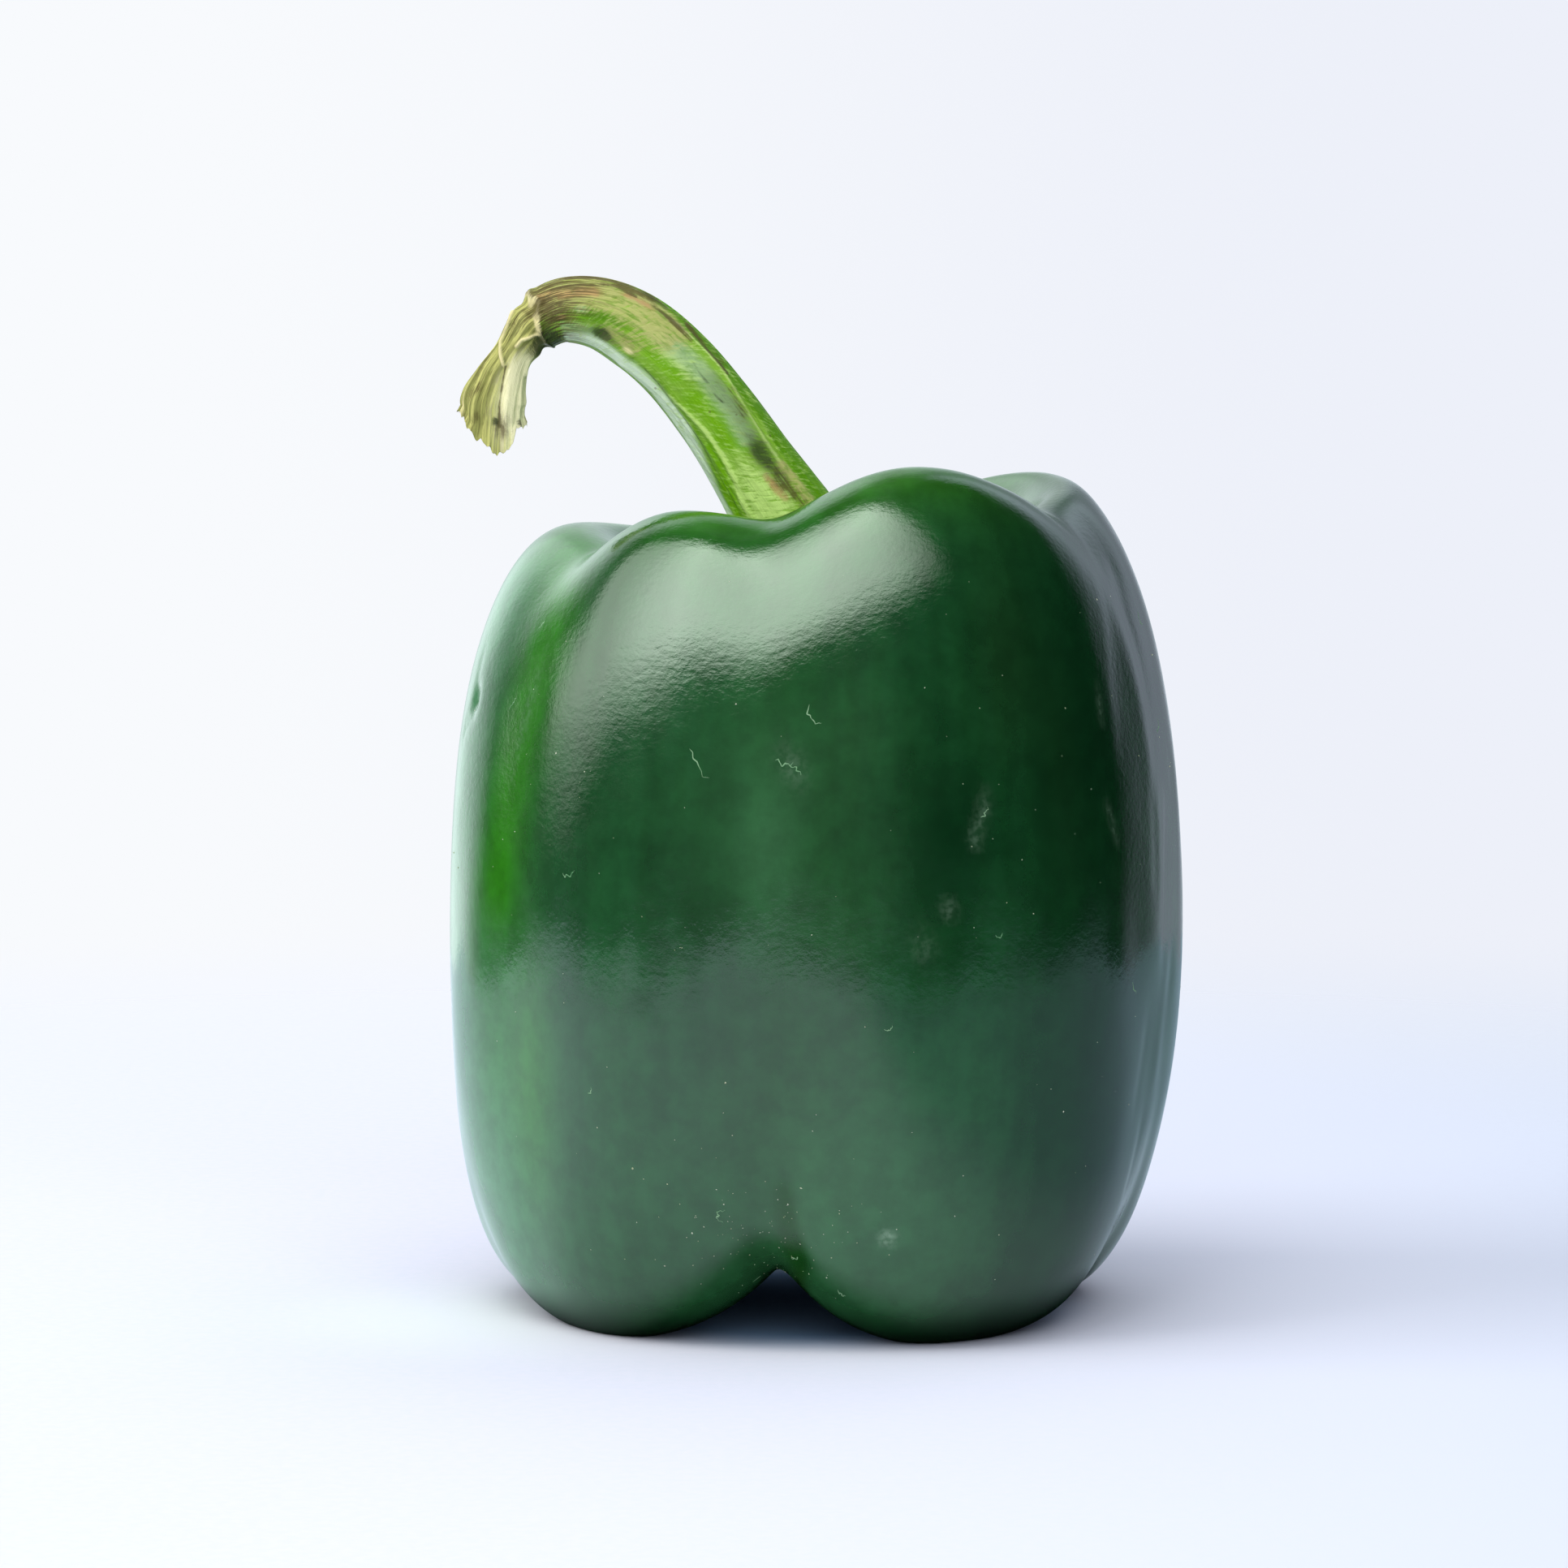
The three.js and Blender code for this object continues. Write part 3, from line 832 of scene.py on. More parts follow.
            Stroke(((0.391, 292), (0.376, 288), (0.365, 288)), 0.13, 0.35),
            Stroke(((0.488, 341), (0.457, 336)), 0.5, 0.5),
            Stroke(((0.351, 285), (0.339, 287)), 0.13, 0.35), Spot(0.985, 262, 0.5, 0.4),
            Spot(0.985, 213, 0.5, 0.35),
        )),
        ("paper", (
            Spot(0.93, 225, 6, 2.2), Spot(0.86, 217, 3.6, 1.6), Spot(1, 198, 3, 1, 0.8),
        )),
        ("cream", (
            Stroke(((0.655, 288), (0.662, 270), (0.676, 252)), 0.32, 0.9), Spot(0.465, 240, 0.9, 0.35, 0.9),
            Stroke(((0.684, 246), (0.723, 260), (0.741, 269), (0.769, 271)), 0.24),
            Stroke(((0.69, 332), (0.715, 326), (0.785, 321), (0.812, 300), (0.835, 275)), 0.2),
            Stroke(((0.8, 350), (0.9, 346), (1, 340)), 0.35), Spot(0.648, 315, 0.5, 0.7, 0.7),
            Spot(0.95, 150, 4, 2, 0.8),
        )),
    )
    azimuths: Array = field(init=False)
    along: Array = field(init=False)
    centre: Array = field(init=False)
    girth: Array = field(init=False)
    tangent: Array = field(init=False)
    outer: Array = field(init=False)
    length: Array = field(init=False)

    def __post_init__(self) -> None:
        """Sets the azimuths of the columns and the middle line, directions and girth of the rings."""
        self.azimuths = columns_round(self.sides)
        self.along = np.linspace(0, 1, self.rings)
        stations = np.array(self.stations)
        self.centre = catmull_rom(stations[:, :3], self.along)
        self.girth = catmull_rom(stations[:, 3:], self.along)
        self.tangent = unit(np.gradient(self.centre, axis=0))
        self.outer = unit(np.cross([0.0, 1.0, 0.0], self.tangent))
        steps = np.linalg.norm(np.diff(self.centre, axis=0), axis=1)
        self.length = np.concatenate([[0.0], np.cumsum(steps)])

    def tear_edge(self) -> Array:
        """Distance along the stem at which the green skin ends on each column, a ragged line."""
        places, shares = np.array(self.tear_line).T
        edge = np.interp(np.degrees(self.azimuths), places, shares, period=360)
        ragged = waves(self.azimuths, np.zeros(self.sides), 5, 14, (28, 0.0))
        return np.interp(edge, self.along, self.length) + self.tear_raggedness * ragged

    def flat_map(self, far: Array, ring: Array) -> FlatMap:
        """The flat map of a grid, given distances along the stem and the ring of each row."""
        far = np.broadcast_to(far, (self.sides, len(ring)))
        azimuth = np.broadcast_to(self.azimuths[:, None], far.shape)
        girth = np.broadcast_to(self.girth[ring].mean(1), far.shape)
        return FlatMap(self.along, self.length, far, azimuth, girth)

    def relief(self) -> Array:
        """How far the surface stands out at every point of every ring, in millimetres.

        Six ribs, finer fibres and low lumps run along the stem. At the tear the skin ends in a curled
        lip, and a thinner core goes on. The skirt is finely pleated.
        """
        azimuth, along = self.azimuths[:, None], self.along[None, :]
        turned_by = azimuth + self.rib_twist * along
        hidden = 0.3 + 0.7 * (0.5 + 0.5 * np.sin(azimuth))
        ribs = self.rib_height * np.cos(self.rib_count * turned_by) * hidden
        edge = self.tear_edge()[:, None]
        past = self.length[None, :] - edge
        green = 1 - ease(past, -0.5, 0.5)
        fibre = waves(turned_by, along, 21, 22, (40, 10.0)) * self.fibre_height * (0.4 + 0.6 * green)
        lumps = waves(azimuth, along, 23, 14, (5, 34.0)) * self.lump_height * ease(along, 0.05, 0.3)
        lip = self.lip_height * bell(past, -0.25, 0.38) - self.lip_groove * bell(past, 0.75, 0.7)
        uneven, even = self.pleat_heights
        pleats = waves(azimuth, along, 27, 12, (30, 6.0)) * uneven
        pleats = pleats + even * np.abs(np.sin(self.pleat_count * azimuth + 0.8))
        skirt = ease(along, 0.80, 0.92)
        drawn = self.flat_map(self.length[None, :], np.arange(self.rings)).draw(self.relief_marks)
        return ribs * green + fibre + lumps + lip + skirt * pleats + drawn

    def tear_reach(self) -> Array:
        """How far the torn skirt goes past the last ring on each column, with small sharp teeth."""
        places, reaches = np.array(self.tear_rim).T
        rim = np.interp(np.degrees(self.azimuths), places, reaches, period=360)
        teeth = self.tooth_size * np.abs(np.sin(self.tooth_count * self.azimuths + 1.0))
        slivers = waves(self.azimuths, np.zeros(self.sides), 9, 12, (44, 0.0))
        return rim + teeth + self.sliver_size * slivers

    def calyx(self) -> tuple[Array, Array]:
        """Points of the calyx, out along its underside and back over its top, and shares of its rim.

        The rim is a round heart with a point for each sepal. The underside keeps a small gap to the
        hollow's floor, and the top thickens towards the stem and has a vein along every sepal.
        """
        azimuth = self.azimuths[:, None]
        lobe = np.abs(np.cos(azimuth * self.calyx_points / 2))
        rim = self.calyx_reach + self.calyx_point * lobe**self.point_sharpness
        inward = np.linspace(0, 1, self.calyx_rows)[None, :]
        under = rim * inward
        over = rim * (1 + (self.calyx_inner - 1) * inward)
        thickness = self.calyx_edge + (self.calyx_heart - self.calyx_edge) * inward
        crinkle = self.crinkle_height * waves(azimuth, over, 31, 14, (24, 1.4)) * np.sin(math.pi * inward)
        vein = self.vein_height * bell(lobe, 1.0, 0.1) * (1 - inward)
        reach = np.concatenate([under, over], 1)
        top = thickness + crinkle + vein - self.calyx_sink
        rise = np.concatenate([np.zeros_like(under), top], 1)
        height = self.fruit.floor_height(self.azimuths, reach) + self.seat_gap
        x = self.fruit.axis_x(height) + reach * np.cos(azimuth)
        points = np.stack([x, reach * np.sin(azimuth), height + rise], -1)
        return points, np.concatenate([under / rim, over / rim], 1)

    def ring_points(self, ring: Array, share: Array, relief: Array, onward: Array) -> Array:
        """Points round given rings.

        Args:
            ring: number of the ring of each row.
            share: share of the ring's half widths.
            relief: how far each point stands out from there.
            onward: how far each point is moved on along the stem.

        Returns:
            Points as sides by rows by 3.
        """
        across = np.array([0.0, 1.0, 0.0])
        cosine, sine = np.cos(self.azimuths)[:, None, None], np.sin(self.azimuths)[:, None, None]
        in_plane, sideways = cosine * self.outer[ring], sine * across
        flat = share[..., None] * (in_plane * self.girth[ring, :1] + sideways * self.girth[ring, 1:])
        standing = relief[..., None] * (in_plane + sideways)
        return self.centre[ring] + flat + standing + self.tangent[ring] * onward[..., None]

    def surface(self) -> ClosedSurface:
        """The whole stem as one closed surface, with the masks that its colours follow."""
        rows = np.arange(self.rings)
        relief = self.relief()
        blank = np.zeros((self.sides, self.rings))
        reach = self.tear_reach()[:, None]
        skirt = ease(self.along, self.tear_start, 1.0)[None, :]
        drawn_back = np.minimum(reach - self.tear_slack, 0) * skirt
        shaft = self.ring_points(rows, blank + 1, relief, drawn_back)
        last = np.full(self.tear_rows, self.rings - 1)
        end_relief = relief[:, last]
        out = np.linspace(0, 1, self.tear_rows + 1)[None, 1:]
        onward = drawn_back[:, -1:] + (reach - drawn_back[:, -1:]) * out
        outer_share = 1 + (self.skirt_flare - 1) * out + 0 * reach
        skirt = self.ring_points(last, outer_share, end_relief, onward)
        inward = np.linspace(0, 1, self.tear_rows)[None, :]
        inner_share = self.skirt_flare - (self.skirt_flare - self.tear_lip) * inward + 0 * reach
        sunk = reach - self.tear_hollow * inward**0.7 - self.rim_fold
        lip = self.ring_points(last, inner_share, end_relief * (1 - 0.5 * inward), sunk)
        calyx, calyx_share = self.calyx()
        middle = self.centre[-1] - self.tangent[-1] * self.tear_hollow
        tip = np.broadcast_to(middle, (self.sides, 1, 3))
        points = np.concatenate([calyx, shaft, skirt, lip, tip], 1)
        calyx_rows = calyx.shape[1]
        past_end = np.concatenate([onward, reach + 0 * inward, reach], 1)
        none = np.zeros((self.sides, calyx_rows))
        far = np.concatenate([none, drawn_back + self.length, self.length[-1] + past_end], 1)
        ring = np.pad(rows, (calyx_rows, 2 * self.tear_rows + 1), "edge")
        fields = self.tones(self.flat_map(far, ring))
        inside, rim = np.zeros((2, *points.shape[:2]))
        inside[:, -self.tear_rows :] = 1
        rim[:, :calyx_rows] = calyx_share
        fields |= {"inside": inside, "calyx": rim}
        return ClosedSurface(points[::-1], {name: values[::-1] for name, values in fields.items()})

    def tones(self, flat: FlatMap) -> dict[str, Array]:
        """Masks that the stem's colours follow, each from 0 to 1, drawn on the flat map."""
        past = flat.far - self.tear_edge()[:, None]
        masks = flat.masks(self.colour_marks)
        masks["cream"] = np.clip(masks["cream"] + bell(past, -0.05, 0.24), 0, 1)
        masks["dry"] = ease(past, 0.0, 0.35)
        masks["lined"] = ease(past, -9.0, -3.0) * (1 - ease(past, -0.3, 0.1))
        return masks

    def build(self, offset: Array) -> Piece:
        """The stem as an object, moved in millimetres by the offset that centres the pepper."""
        surface = self.surface()
        surface.points = (surface.points + offset) * MM
        return surface.build("stem_skin")


# Marks on the skin


@dataclass(frozen=True)
class Scratch:
    """A pale curved scratch: azimuth and height of its middle, length, tilt in degrees and bend."""

    azimuth: float
    height: float
    length: float
    tilt: float
    bend: float


@dataclass
class Marks:
    """Dust specks and fine scratches lying on the fruit's skin.

    The sizes of the specks are factors of their radius, each with its chance. Debris lies round the
    front notch, spread in radians of azimuth and in millimetres of height, above a least height. The
    random ranges are those of a scratch's azimuth, height, length, tilt and bend.
    """

    fruit: Fruit
    seed: int = 17
    speck_count: int = 260
    speck_heights: Pair = (6, 88)
    speck_radius: Pair = (0.045, 0.11)
    speck_sizes: Pairs = ((0.8, 0.5), (1.0, 0.4), (1.5, 0.1))
    debris_count: int = 110
    debris_azimuth: float = -100.0
    debris_spread: Pair = (0.13, 4.0)
    debris_height: Pair = (9.5, 3.5)
    scratch_rows: int = 34
    scratch_sides: int = 6
    scratch_half_width: float = 0.075
    scratch_half_height: float = 0.03
    kink_count: int = 8
    kink: float = 0.16
    swelling: Pair = (0.35, 1.2)
    chosen: tuple[Scratch, ...] = (
        Scratch(-96.3, 65.9, 2.0, -8, 0.35), Scratch(-94.5, 65.2, 1.7, -42, -0.15),
        Scratch(-109.9, 65.7, 4.0, -52, 0.3), Scratch(-92.0, 71.0, 2.4, -55, 0.5),
        Scratch(-133.0, 52.7, 2.2, 20, 0.3), Scratch(-65.2, 60.4, 1.4, 60, 0.1),
        Scratch(-30.1, 39.0, 2.0, -52, 0.0), Scratch(-107.0, 15.6, 1.5, 80, -0.7),
        Scratch(-80.0, 37.0, 1.0, 30, 0.3), Scratch(-128.0, 29.0, 0.9, 50, 0.3),
        Scratch(-63.0, 46.8, 0.9, 10, 0.4), Scratch(-104.0, 6.5, 1.0, 40, 0.4),
        Scratch(-152.0, 79.5, 1.6, 48, 0.1), Scratch(-86.0, 6.8, 1.2, -40, 0.2),
        Scratch(-95.0, 10.6, 0.8, 0, 0.2),
    )
    random_scratches: int = 16
    random_ranges: Pairs = ((-15, 205), (12, 80), (1.0, 3.4), (0, 180), (-1, 1))

    def locate(self, azimuth: Array, height: Array) -> tuple[Array, Array, Array, Array]:
        """Point, normal, way round and way up on the skin at azimuths and heights.

        Heights are found between the shoulder and the foot, where each meridian only falls.

        Args:
            azimuth: azimuths in radians.
            height: heights in millimetres.

        Returns:
            Four arrays of vectors, with a row for each place.
        """
        first = self.fruit.solid_rows[0] * self.fruit.fineness + 4
        last = sum(self.fruit.solid_rows[:3]) * self.fruit.fineness - 6
        heights = self.fruit.grid[:, first:last, 2]
        column = np.asarray(azimuth) / TURN * self.fruit.sides
        side = np.floor(column).astype(int) % self.fruit.sides
        share = (column - np.floor(column))[..., None]
        rank = (heights[side] > height[..., None]).sum(-1) - 1
        rank = np.clip(rank, 0, last - first - 2)
        above, below = heights[side, rank], heights[side, rank + 1]
        down = np.clip((above - height) / np.maximum(above - below, 1e-6), 0, 1)[..., None]
        grid = self.fruit.grid[:, first:last]
        following = (side + 1) % self.fruit.sides

        def between(values: Array) -> Array:
            """Values of the four points round each place, weighted by nearness."""
            left = values[side, rank] * (1 - down) + values[side, rank + 1] * down
            right = values[following, rank] * (1 - down) + values[following, rank + 1] * down
            return left * (1 - share) + right * share

        normals = grid_normals(self.fruit.grid)[:, first:last]
        normal = unit(between(normals))
        way_round = unit(np.cross([0.0, 0.0, 1.0], normal))
        return between(grid), normal, way_round, np.cross(normal, way_round)

    def scratch_surface(self, scratch: Scratch, draw: np.random.Generator) -> tuple[Array, Array, Array]:
        """One scratch: a low rounded ribbon along a bent line on the skin, drawn to points.

        Args:
            scratch: its place and size.
            draw: source of its wobble.

        Returns:
            Vertices in millimetres, quads and triangles.
        """
        share = np.linspace(-1, 1, self.scratch_rows)
        tilt = math.radians(scratch.tilt)
        knots = np.linspace(-1, 1, self.kink_count)
        kinks = np.interp(share, knots, draw.normal(0, self.kink, self.kink_count))
        straight = share * scratch.length / 2
        side = scratch.bend * (share**2 - 0.4) + kinks * min(scratch.length / 2, 1.0)
        along = straight * math.cos(tilt) - side * math.sin(tilt)
        up = straight * math.sin(tilt) + side * math.cos(tilt)
        centre = math.radians(scratch.azimuth)
        middle = self.locate(np.array([centre % TURN]), np.array([scratch.height]))[0]
        azimuth = (centre + along / np.hypot(middle[0, 0], middle[0, 1])) % TURN
        point, normal = self.locate(azimuth, scratch.height + up)[:2]
        across = np.cross(normal, unit(np.gradient(point, axis=0)))
        swelling = np.interp(share, knots, draw.uniform(*self.swelling, self.kink_count))
        width = self.scratch_half_width * np.sqrt(np.maximum(1 - share**2, 0)) * swelling
        angle = columns_round(self.scratch_sides)
        thickness = self.scratch_half_height * width / self.scratch_half_width
        flat = np.cos(angle)[:, None, None] * across * width[:, None]
        lift = np.sin(angle)[:, None, None] * normal * thickness[:, None]
        surface = ClosedSurface(point[None] + flat + lift)
        return surface.order(surface.points), *surface.faces()

    def specks(self, draw: np.random.Generator) -> tuple[Array, Array]:
        """All specks: flattened uneven octahedra scattered over the skin, more round the notch.

        Returns:
            Vertices in millimetres and triangles.
        """
        azimuth = draw.uniform(0, TURN, self.speck_count)
        height = draw.uniform(*self.speck_heights, self.speck_count)
        round_spread, up_spread = self.debris_spread
        near = math.radians(self.debris_azimuth) + draw.normal(0, round_spread, self.debris_count)
        azimuth = np.concatenate([azimuth, near]) % TURN
        middle, lowest = self.debris_height
        low = np.abs(draw.normal(middle, up_spread, self.debris_count)) + lowest
        height = np.concatenate([height, low])
        count = len(azimuth)
        point, normal, way_round, way_up = self.locate(azimuth, height)
        factors, chances = np.array(self.speck_sizes).T
        radius = draw.uniform(*self.speck_radius, count) * draw.choice(factors, count, p=chances)
        spin = draw.uniform(0, TURN, count)
        stretch = draw.uniform(0.5, 1.0, count)
        across = np.cos(spin)[:, None] * way_round + np.sin(spin)[:, None] * way_up
        beside = np.cross(normal, across)
        corners = np.array([[1, 0, 0], [0, 1, 0], [-1, 0, 0], [0, -1, 0], [0, 0, 0.6], [0, 0, -0.3]])
        sizes = np.stack([radius, radius * stretch, radius], -1)
        local = corners[None] * sizes[:, None] * draw.uniform(0.75, 1.25, (count, 6, 1))
        axes = np.stack([across, beside, normal], 1)
        vertices = point[:, None] + np.einsum("nck,nkd->ncd", local, axes)
        upper = [[k, (k + 1) % 4, 4] for k in range(4)]
        lower = [[(k + 1) % 4, k, 5] for k in range(4)]
        triangles = np.array([*upper, *lower])[None] + 6 * np.arange(count)[:, None, None]
        return vertices.reshape(-1, 3), triangles.reshape(-1, 3)

    def all_scratches(self, draw: np.random.Generator) -> list[Scratch]:
        """The chosen scratches and seeded ones on the rest of the skin."""
        columns = [draw.uniform(*least_most, self.random_scratches) for least_most in self.random_ranges]
        return [*self.chosen, *(Scratch(*values) for values in zip(*columns))]

    def build(self, offset: Array) -> tuple[Piece, Piece]:
        """Scratches and specks as two objects, moved by the offset that centres the pepper."""
        draw = np.random.default_rng(self.seed)
        points, quads, triangles = [], [], []
        start = 0
        for scratch in self.all_scratches(draw):
            vertices, four, three = self.scratch_surface(scratch, draw)
            points.append(vertices)
            quads.append(four + start)
            triangles.append(three + start)
            start += len(vertices)
        places = (np.concatenate(points) + offset) * MM
        scratches = mesh_object("skin_scratches", places, np.concatenate(quads), np.concatenate(triangles))
        dust, dust_faces = self.specks(draw)
        specks = mesh_object("dust_specks", (dust + offset) * MM, np.zeros((0, 4), int), dust_faces)
        return scratches, specks


# Materials


class Change(Enum):
    """How a value goes from one level to the next: eased at both ends, or even."""

    EASED = "SMOOTHSTEP"
    EVEN = "LINEAR"


def rgba(red: float, green: float, blue: float) -> tuple[float, float, float, float]:
    """A linear colour with full alpha, from the 0 to 255 values of a screen."""
    screen = np.array([red, green, blue]) / 255
    linear = np.where(screen <= 0.04045, screen / 12.92, ((screen + 0.055) / 1.055) ** 2.4)
    return (*(float(v) for v in linear), 1.0)


@dataclass
class Graph:
    """A node tree with short calls that add nodes and link them."""

    tree: Tree

    MIX_FACTOR = 0
    MIX_FIRST = 6
    MIX_SECOND = 7
    MIX_RESULT = 2

    def feed(self, socket: Socket, value: Feed) -> None:
        """Links a socket's output to an input, or sets the input's own value."""
        if isinstance(value, Socket):
            self.tree.links.new(value, socket)
        else:
            socket.default_value = value

    def node(self, kind: str, inputs: Inputs | None = None, **settings: object) -> Node:
        """Adds a node.

        Args:
            kind: its type.
            inputs: sockets by name or number, each fed with a value or an output.
            settings: properties of the node.

        Returns:
            The node.
        """
        made = self.tree.nodes.new(kind)
        for name, value in settings.items():
            setattr(made, name, value)
        for name, value in (inputs or {}).items():
            self.feed(made.inputs[name], value)
        return made

    def sum(self, kind: str, first: Feed, second: Feed = 0.0) -> Socket:
        """One sum of arithmetic on two values."""
        return self.node("ShaderNodeMath", {0: first, 1: second}, operation=kind).outputs[0]

    def times(self, first: Feed, second: Feed) -> Socket:
        """The product of two values."""
        return self.sum("MULTIPLY", first, second)

    def measure(self, kind: str, first: Feed, second: Feed) -> Socket:
        """A number from two vectors, such as their distance."""
        made = self.node("ShaderNodeVectorMath", {0: first, 1: second}, operation=kind)
        return made.outputs["Value"]

    def scaled(self, colour: Socket, factor: Socket) -> Socket:
        """A colour made brighter or darker by a factor."""
        made = self.node("ShaderNodeVectorMath", {0: colour, "Scale": factor}, operation="SCALE")
        return made.outputs[0]

    def attribute(self, name: str) -> Socket:
        """A value that the mesh holds at every point."""
        return self.node("ShaderNodeAttribute", attribute_name=name).outputs["Fac"]

    def place(self) -> Socket:
        """The piece's own coordinates, in metres."""
        return self.node("ShaderNodeTexCoord").outputs["Object"]

    def wrap(self) -> Socket:
        """The piece's flat map: share of the turn and share of the rows."""
        return self.node("ShaderNodeUVMap", uv_map="wrap").outputs[0]

    def parts(self, vector: Socket) -> Sockets:
        """The three parts of a vector."""
        return self.node("ShaderNodeSeparateXYZ", {0: vector}).outputs

    def span(
        self, value: Feed, low: float, high: float, start: float = 0.0, end: float = 1.0,
        change: Change = Change.EASED,
    ) -> Socket:
        """A value that goes from start to end as another goes from low to high, and stays there.

        Args:
            value: the other value.
            low: where the change starts.
            high: where it ends.
            start: the first value.
            end: the last value.
            change: how it goes between them.

        Returns:
            The value's output.
        """
        inputs = {"Value": value, "From Min": low, "From Max": high, "To Min": start, "To Max": end}
        return self.node("ShaderNodeMapRange", inputs, interpolation_type=change.value).outputs[0]

    def curve(self, value: Feed, pairs: Pairs) -> Socket:
        """A value read off straight lines through pairs of numbers, up to twenty of them.

        Args:
            value: the value to read at.
            pairs: rising places, and the number at each.

        Returns:
            The number's output.
        """
        first, last = pairs[0][0], pairs[-1][0]
        most = max(abs(number) for _, number in pairs)
        ramp = self.node("ShaderNodeValToRGB", {0: self.span(value, first, last, change=Change.EVEN)})
        stops = ramp.color_ramp.elements
        for index, (where, number) in enumerate(pairs):
            share = (where - first) / (last - first)
            stop = stops[index] if index < 2 else stops.new(share)
            stop.position = share
            stop.color = (number / most, number / most, number / most, 1.0)
        return self.times(ramp.outputs[0], most)

    def noise(self, place: Feed, scale: float, detail: float = 3.0, roughness: float = 0.5) -> Socket:
        """Smooth noise of about 0 to 1."""
        inputs = {"Vector": place, "Scale": scale, "Detail": detail, "Roughness": roughness}
        return self.node("ShaderNodeTexNoise", inputs).outputs[0]

    def over(self, factor: Feed, first: Colour | Socket, second: Colour | Socket) -> Socket:
        """The second colour laid over the first by a factor, each an output or a screen's values."""
        ends = [rgba(*end) if isinstance(end, tuple) else end for end in (first, second)]
        inputs = {self.MIX_FACTOR: factor, self.MIX_FIRST: ends[0], self.MIX_SECOND: ends[1]}
        return self.node("ShaderNodeMix", inputs, data_type="RGBA").outputs[self.MIX_RESULT]

    def within(self, colour: Socket, name: str, share: Feed, tone: Colour) -> Socket:
        """A colour with a tone laid over it by a share, inside the mesh's mask of a name."""
        return self.over(self.times(self.attribute(name), share), colour, tone)

    def bump(self, shader: Node, height: Socket, distance: float) -> None:
        """Bends a shader's normal by a height from 0 to 1 that stands for a distance in metres."""
        made = self.node("ShaderNodeBump", {"Height": height, "Distance": distance, "Strength": 1.0})
        self.feed(shader.inputs["Normal"], made.outputs[0])

    def group(self, tree: Tree, inputs: Inputs) -> Node:
        """A shared effect with its own inputs."""
        return self.node("ShaderNodeGroup", inputs, node_tree=tree)


def new_group(
    name: str, vector: str, numbers: tuple[tuple[str, float], ...], outputs: tuple[str, ...]
) -> tuple[Graph, Node, Node]:
    """An empty shader node group with its sockets.

    Args:
        name: its name.
        vector: name of its vector input.
        numbers: name and default of each float input.
        outputs: names of its float outputs.

    Returns:
        Its graph, its input node and its output node.
    """
    tree = bpy.data.node_groups.new(name, "ShaderNodeTree")
    tree.interface.new_socket(vector, in_out="INPUT", socket_type="NodeSocketVector")
    for label, default in numbers:
        socket = tree.interface.new_socket(label, in_out="INPUT", socket_type="NodeSocketFloat")
        socket.default_value = default
    for label in outputs:
        tree.interface.new_socket(label, in_out="OUTPUT", socket_type="NodeSocketFloat")
    graph = Graph(tree)
    return graph, graph.node("NodeGroupInput"), graph.node("NodeGroupOutput")


def streak_group() -> Tree:
    """Streaks along a piece: noise on its map, squeezed round it, with a finer layer on top."""
    graph, given, out = new_group(
        "streaks_along", "Map", (("Round", 60.0), ("Along", 4.0)), ("Broad", "Fine")
    )
    counts = {0: given.outputs["Round"], 1: given.outputs["Along"], 2: 1.0}
    scale = graph.node("ShaderNodeCombineXYZ", counts).outputs[0]
    inputs = {0: given.outputs["Map"], 1: scale}
    place = graph.node("ShaderNodeVectorMath", inputs, operation="MULTIPLY").outputs[0]
    graph.feed(out.inputs["Broad"], graph.noise(place, 1.0, 2.0))
    graph.feed(out.inputs["Fine"], graph.noise(place, 4.3, 4.0, 0.6))
    return graph.tree


def fleck_group() -> Tree:
    """Small soft dots at random places: near the middles of a share of the cells of a cell pattern."""
    graph, given, out = new_group(
        "soft_flecks", "Place", (("Density", 300.0), ("Radius", 0.15), ("Share", 0.2)), ("Mask",)
    )
    inputs = {"Vector": given.outputs["Place"], "Scale": given.outputs["Density"]}
    cells = graph.node("ShaderNodeTexVoronoi", inputs).outputs
    near = graph.sum("LESS_THAN", cells["Distance"], given.outputs["Radius"])
    chance = graph.node("ShaderNodeSeparateColor", {0: cells["Color"]}).outputs[0]
    chosen = graph.sum("LESS_THAN", chance, given.outputs["Share"])
    graph.feed(out.inputs["Mask"], graph.times(near, chosen))
    return graph.tree


@dataclass
class Effects:
    """The node groups that more than one material uses."""

    streaks: Tree
    flecks: Tree


def new_material(name: str) -> tuple[Material, Graph, Node]:
    """A material with a lone Principled shader.

    Args:
        name: its name.

    Returns:
        The material, its graph and its shader node.
    """
    material = bpy.data.materials.new(name)
    material.use_nodes = True
    graph = Graph(material.node_tree)
    return material, graph, material.node_tree.nodes["Principled BSDF"]


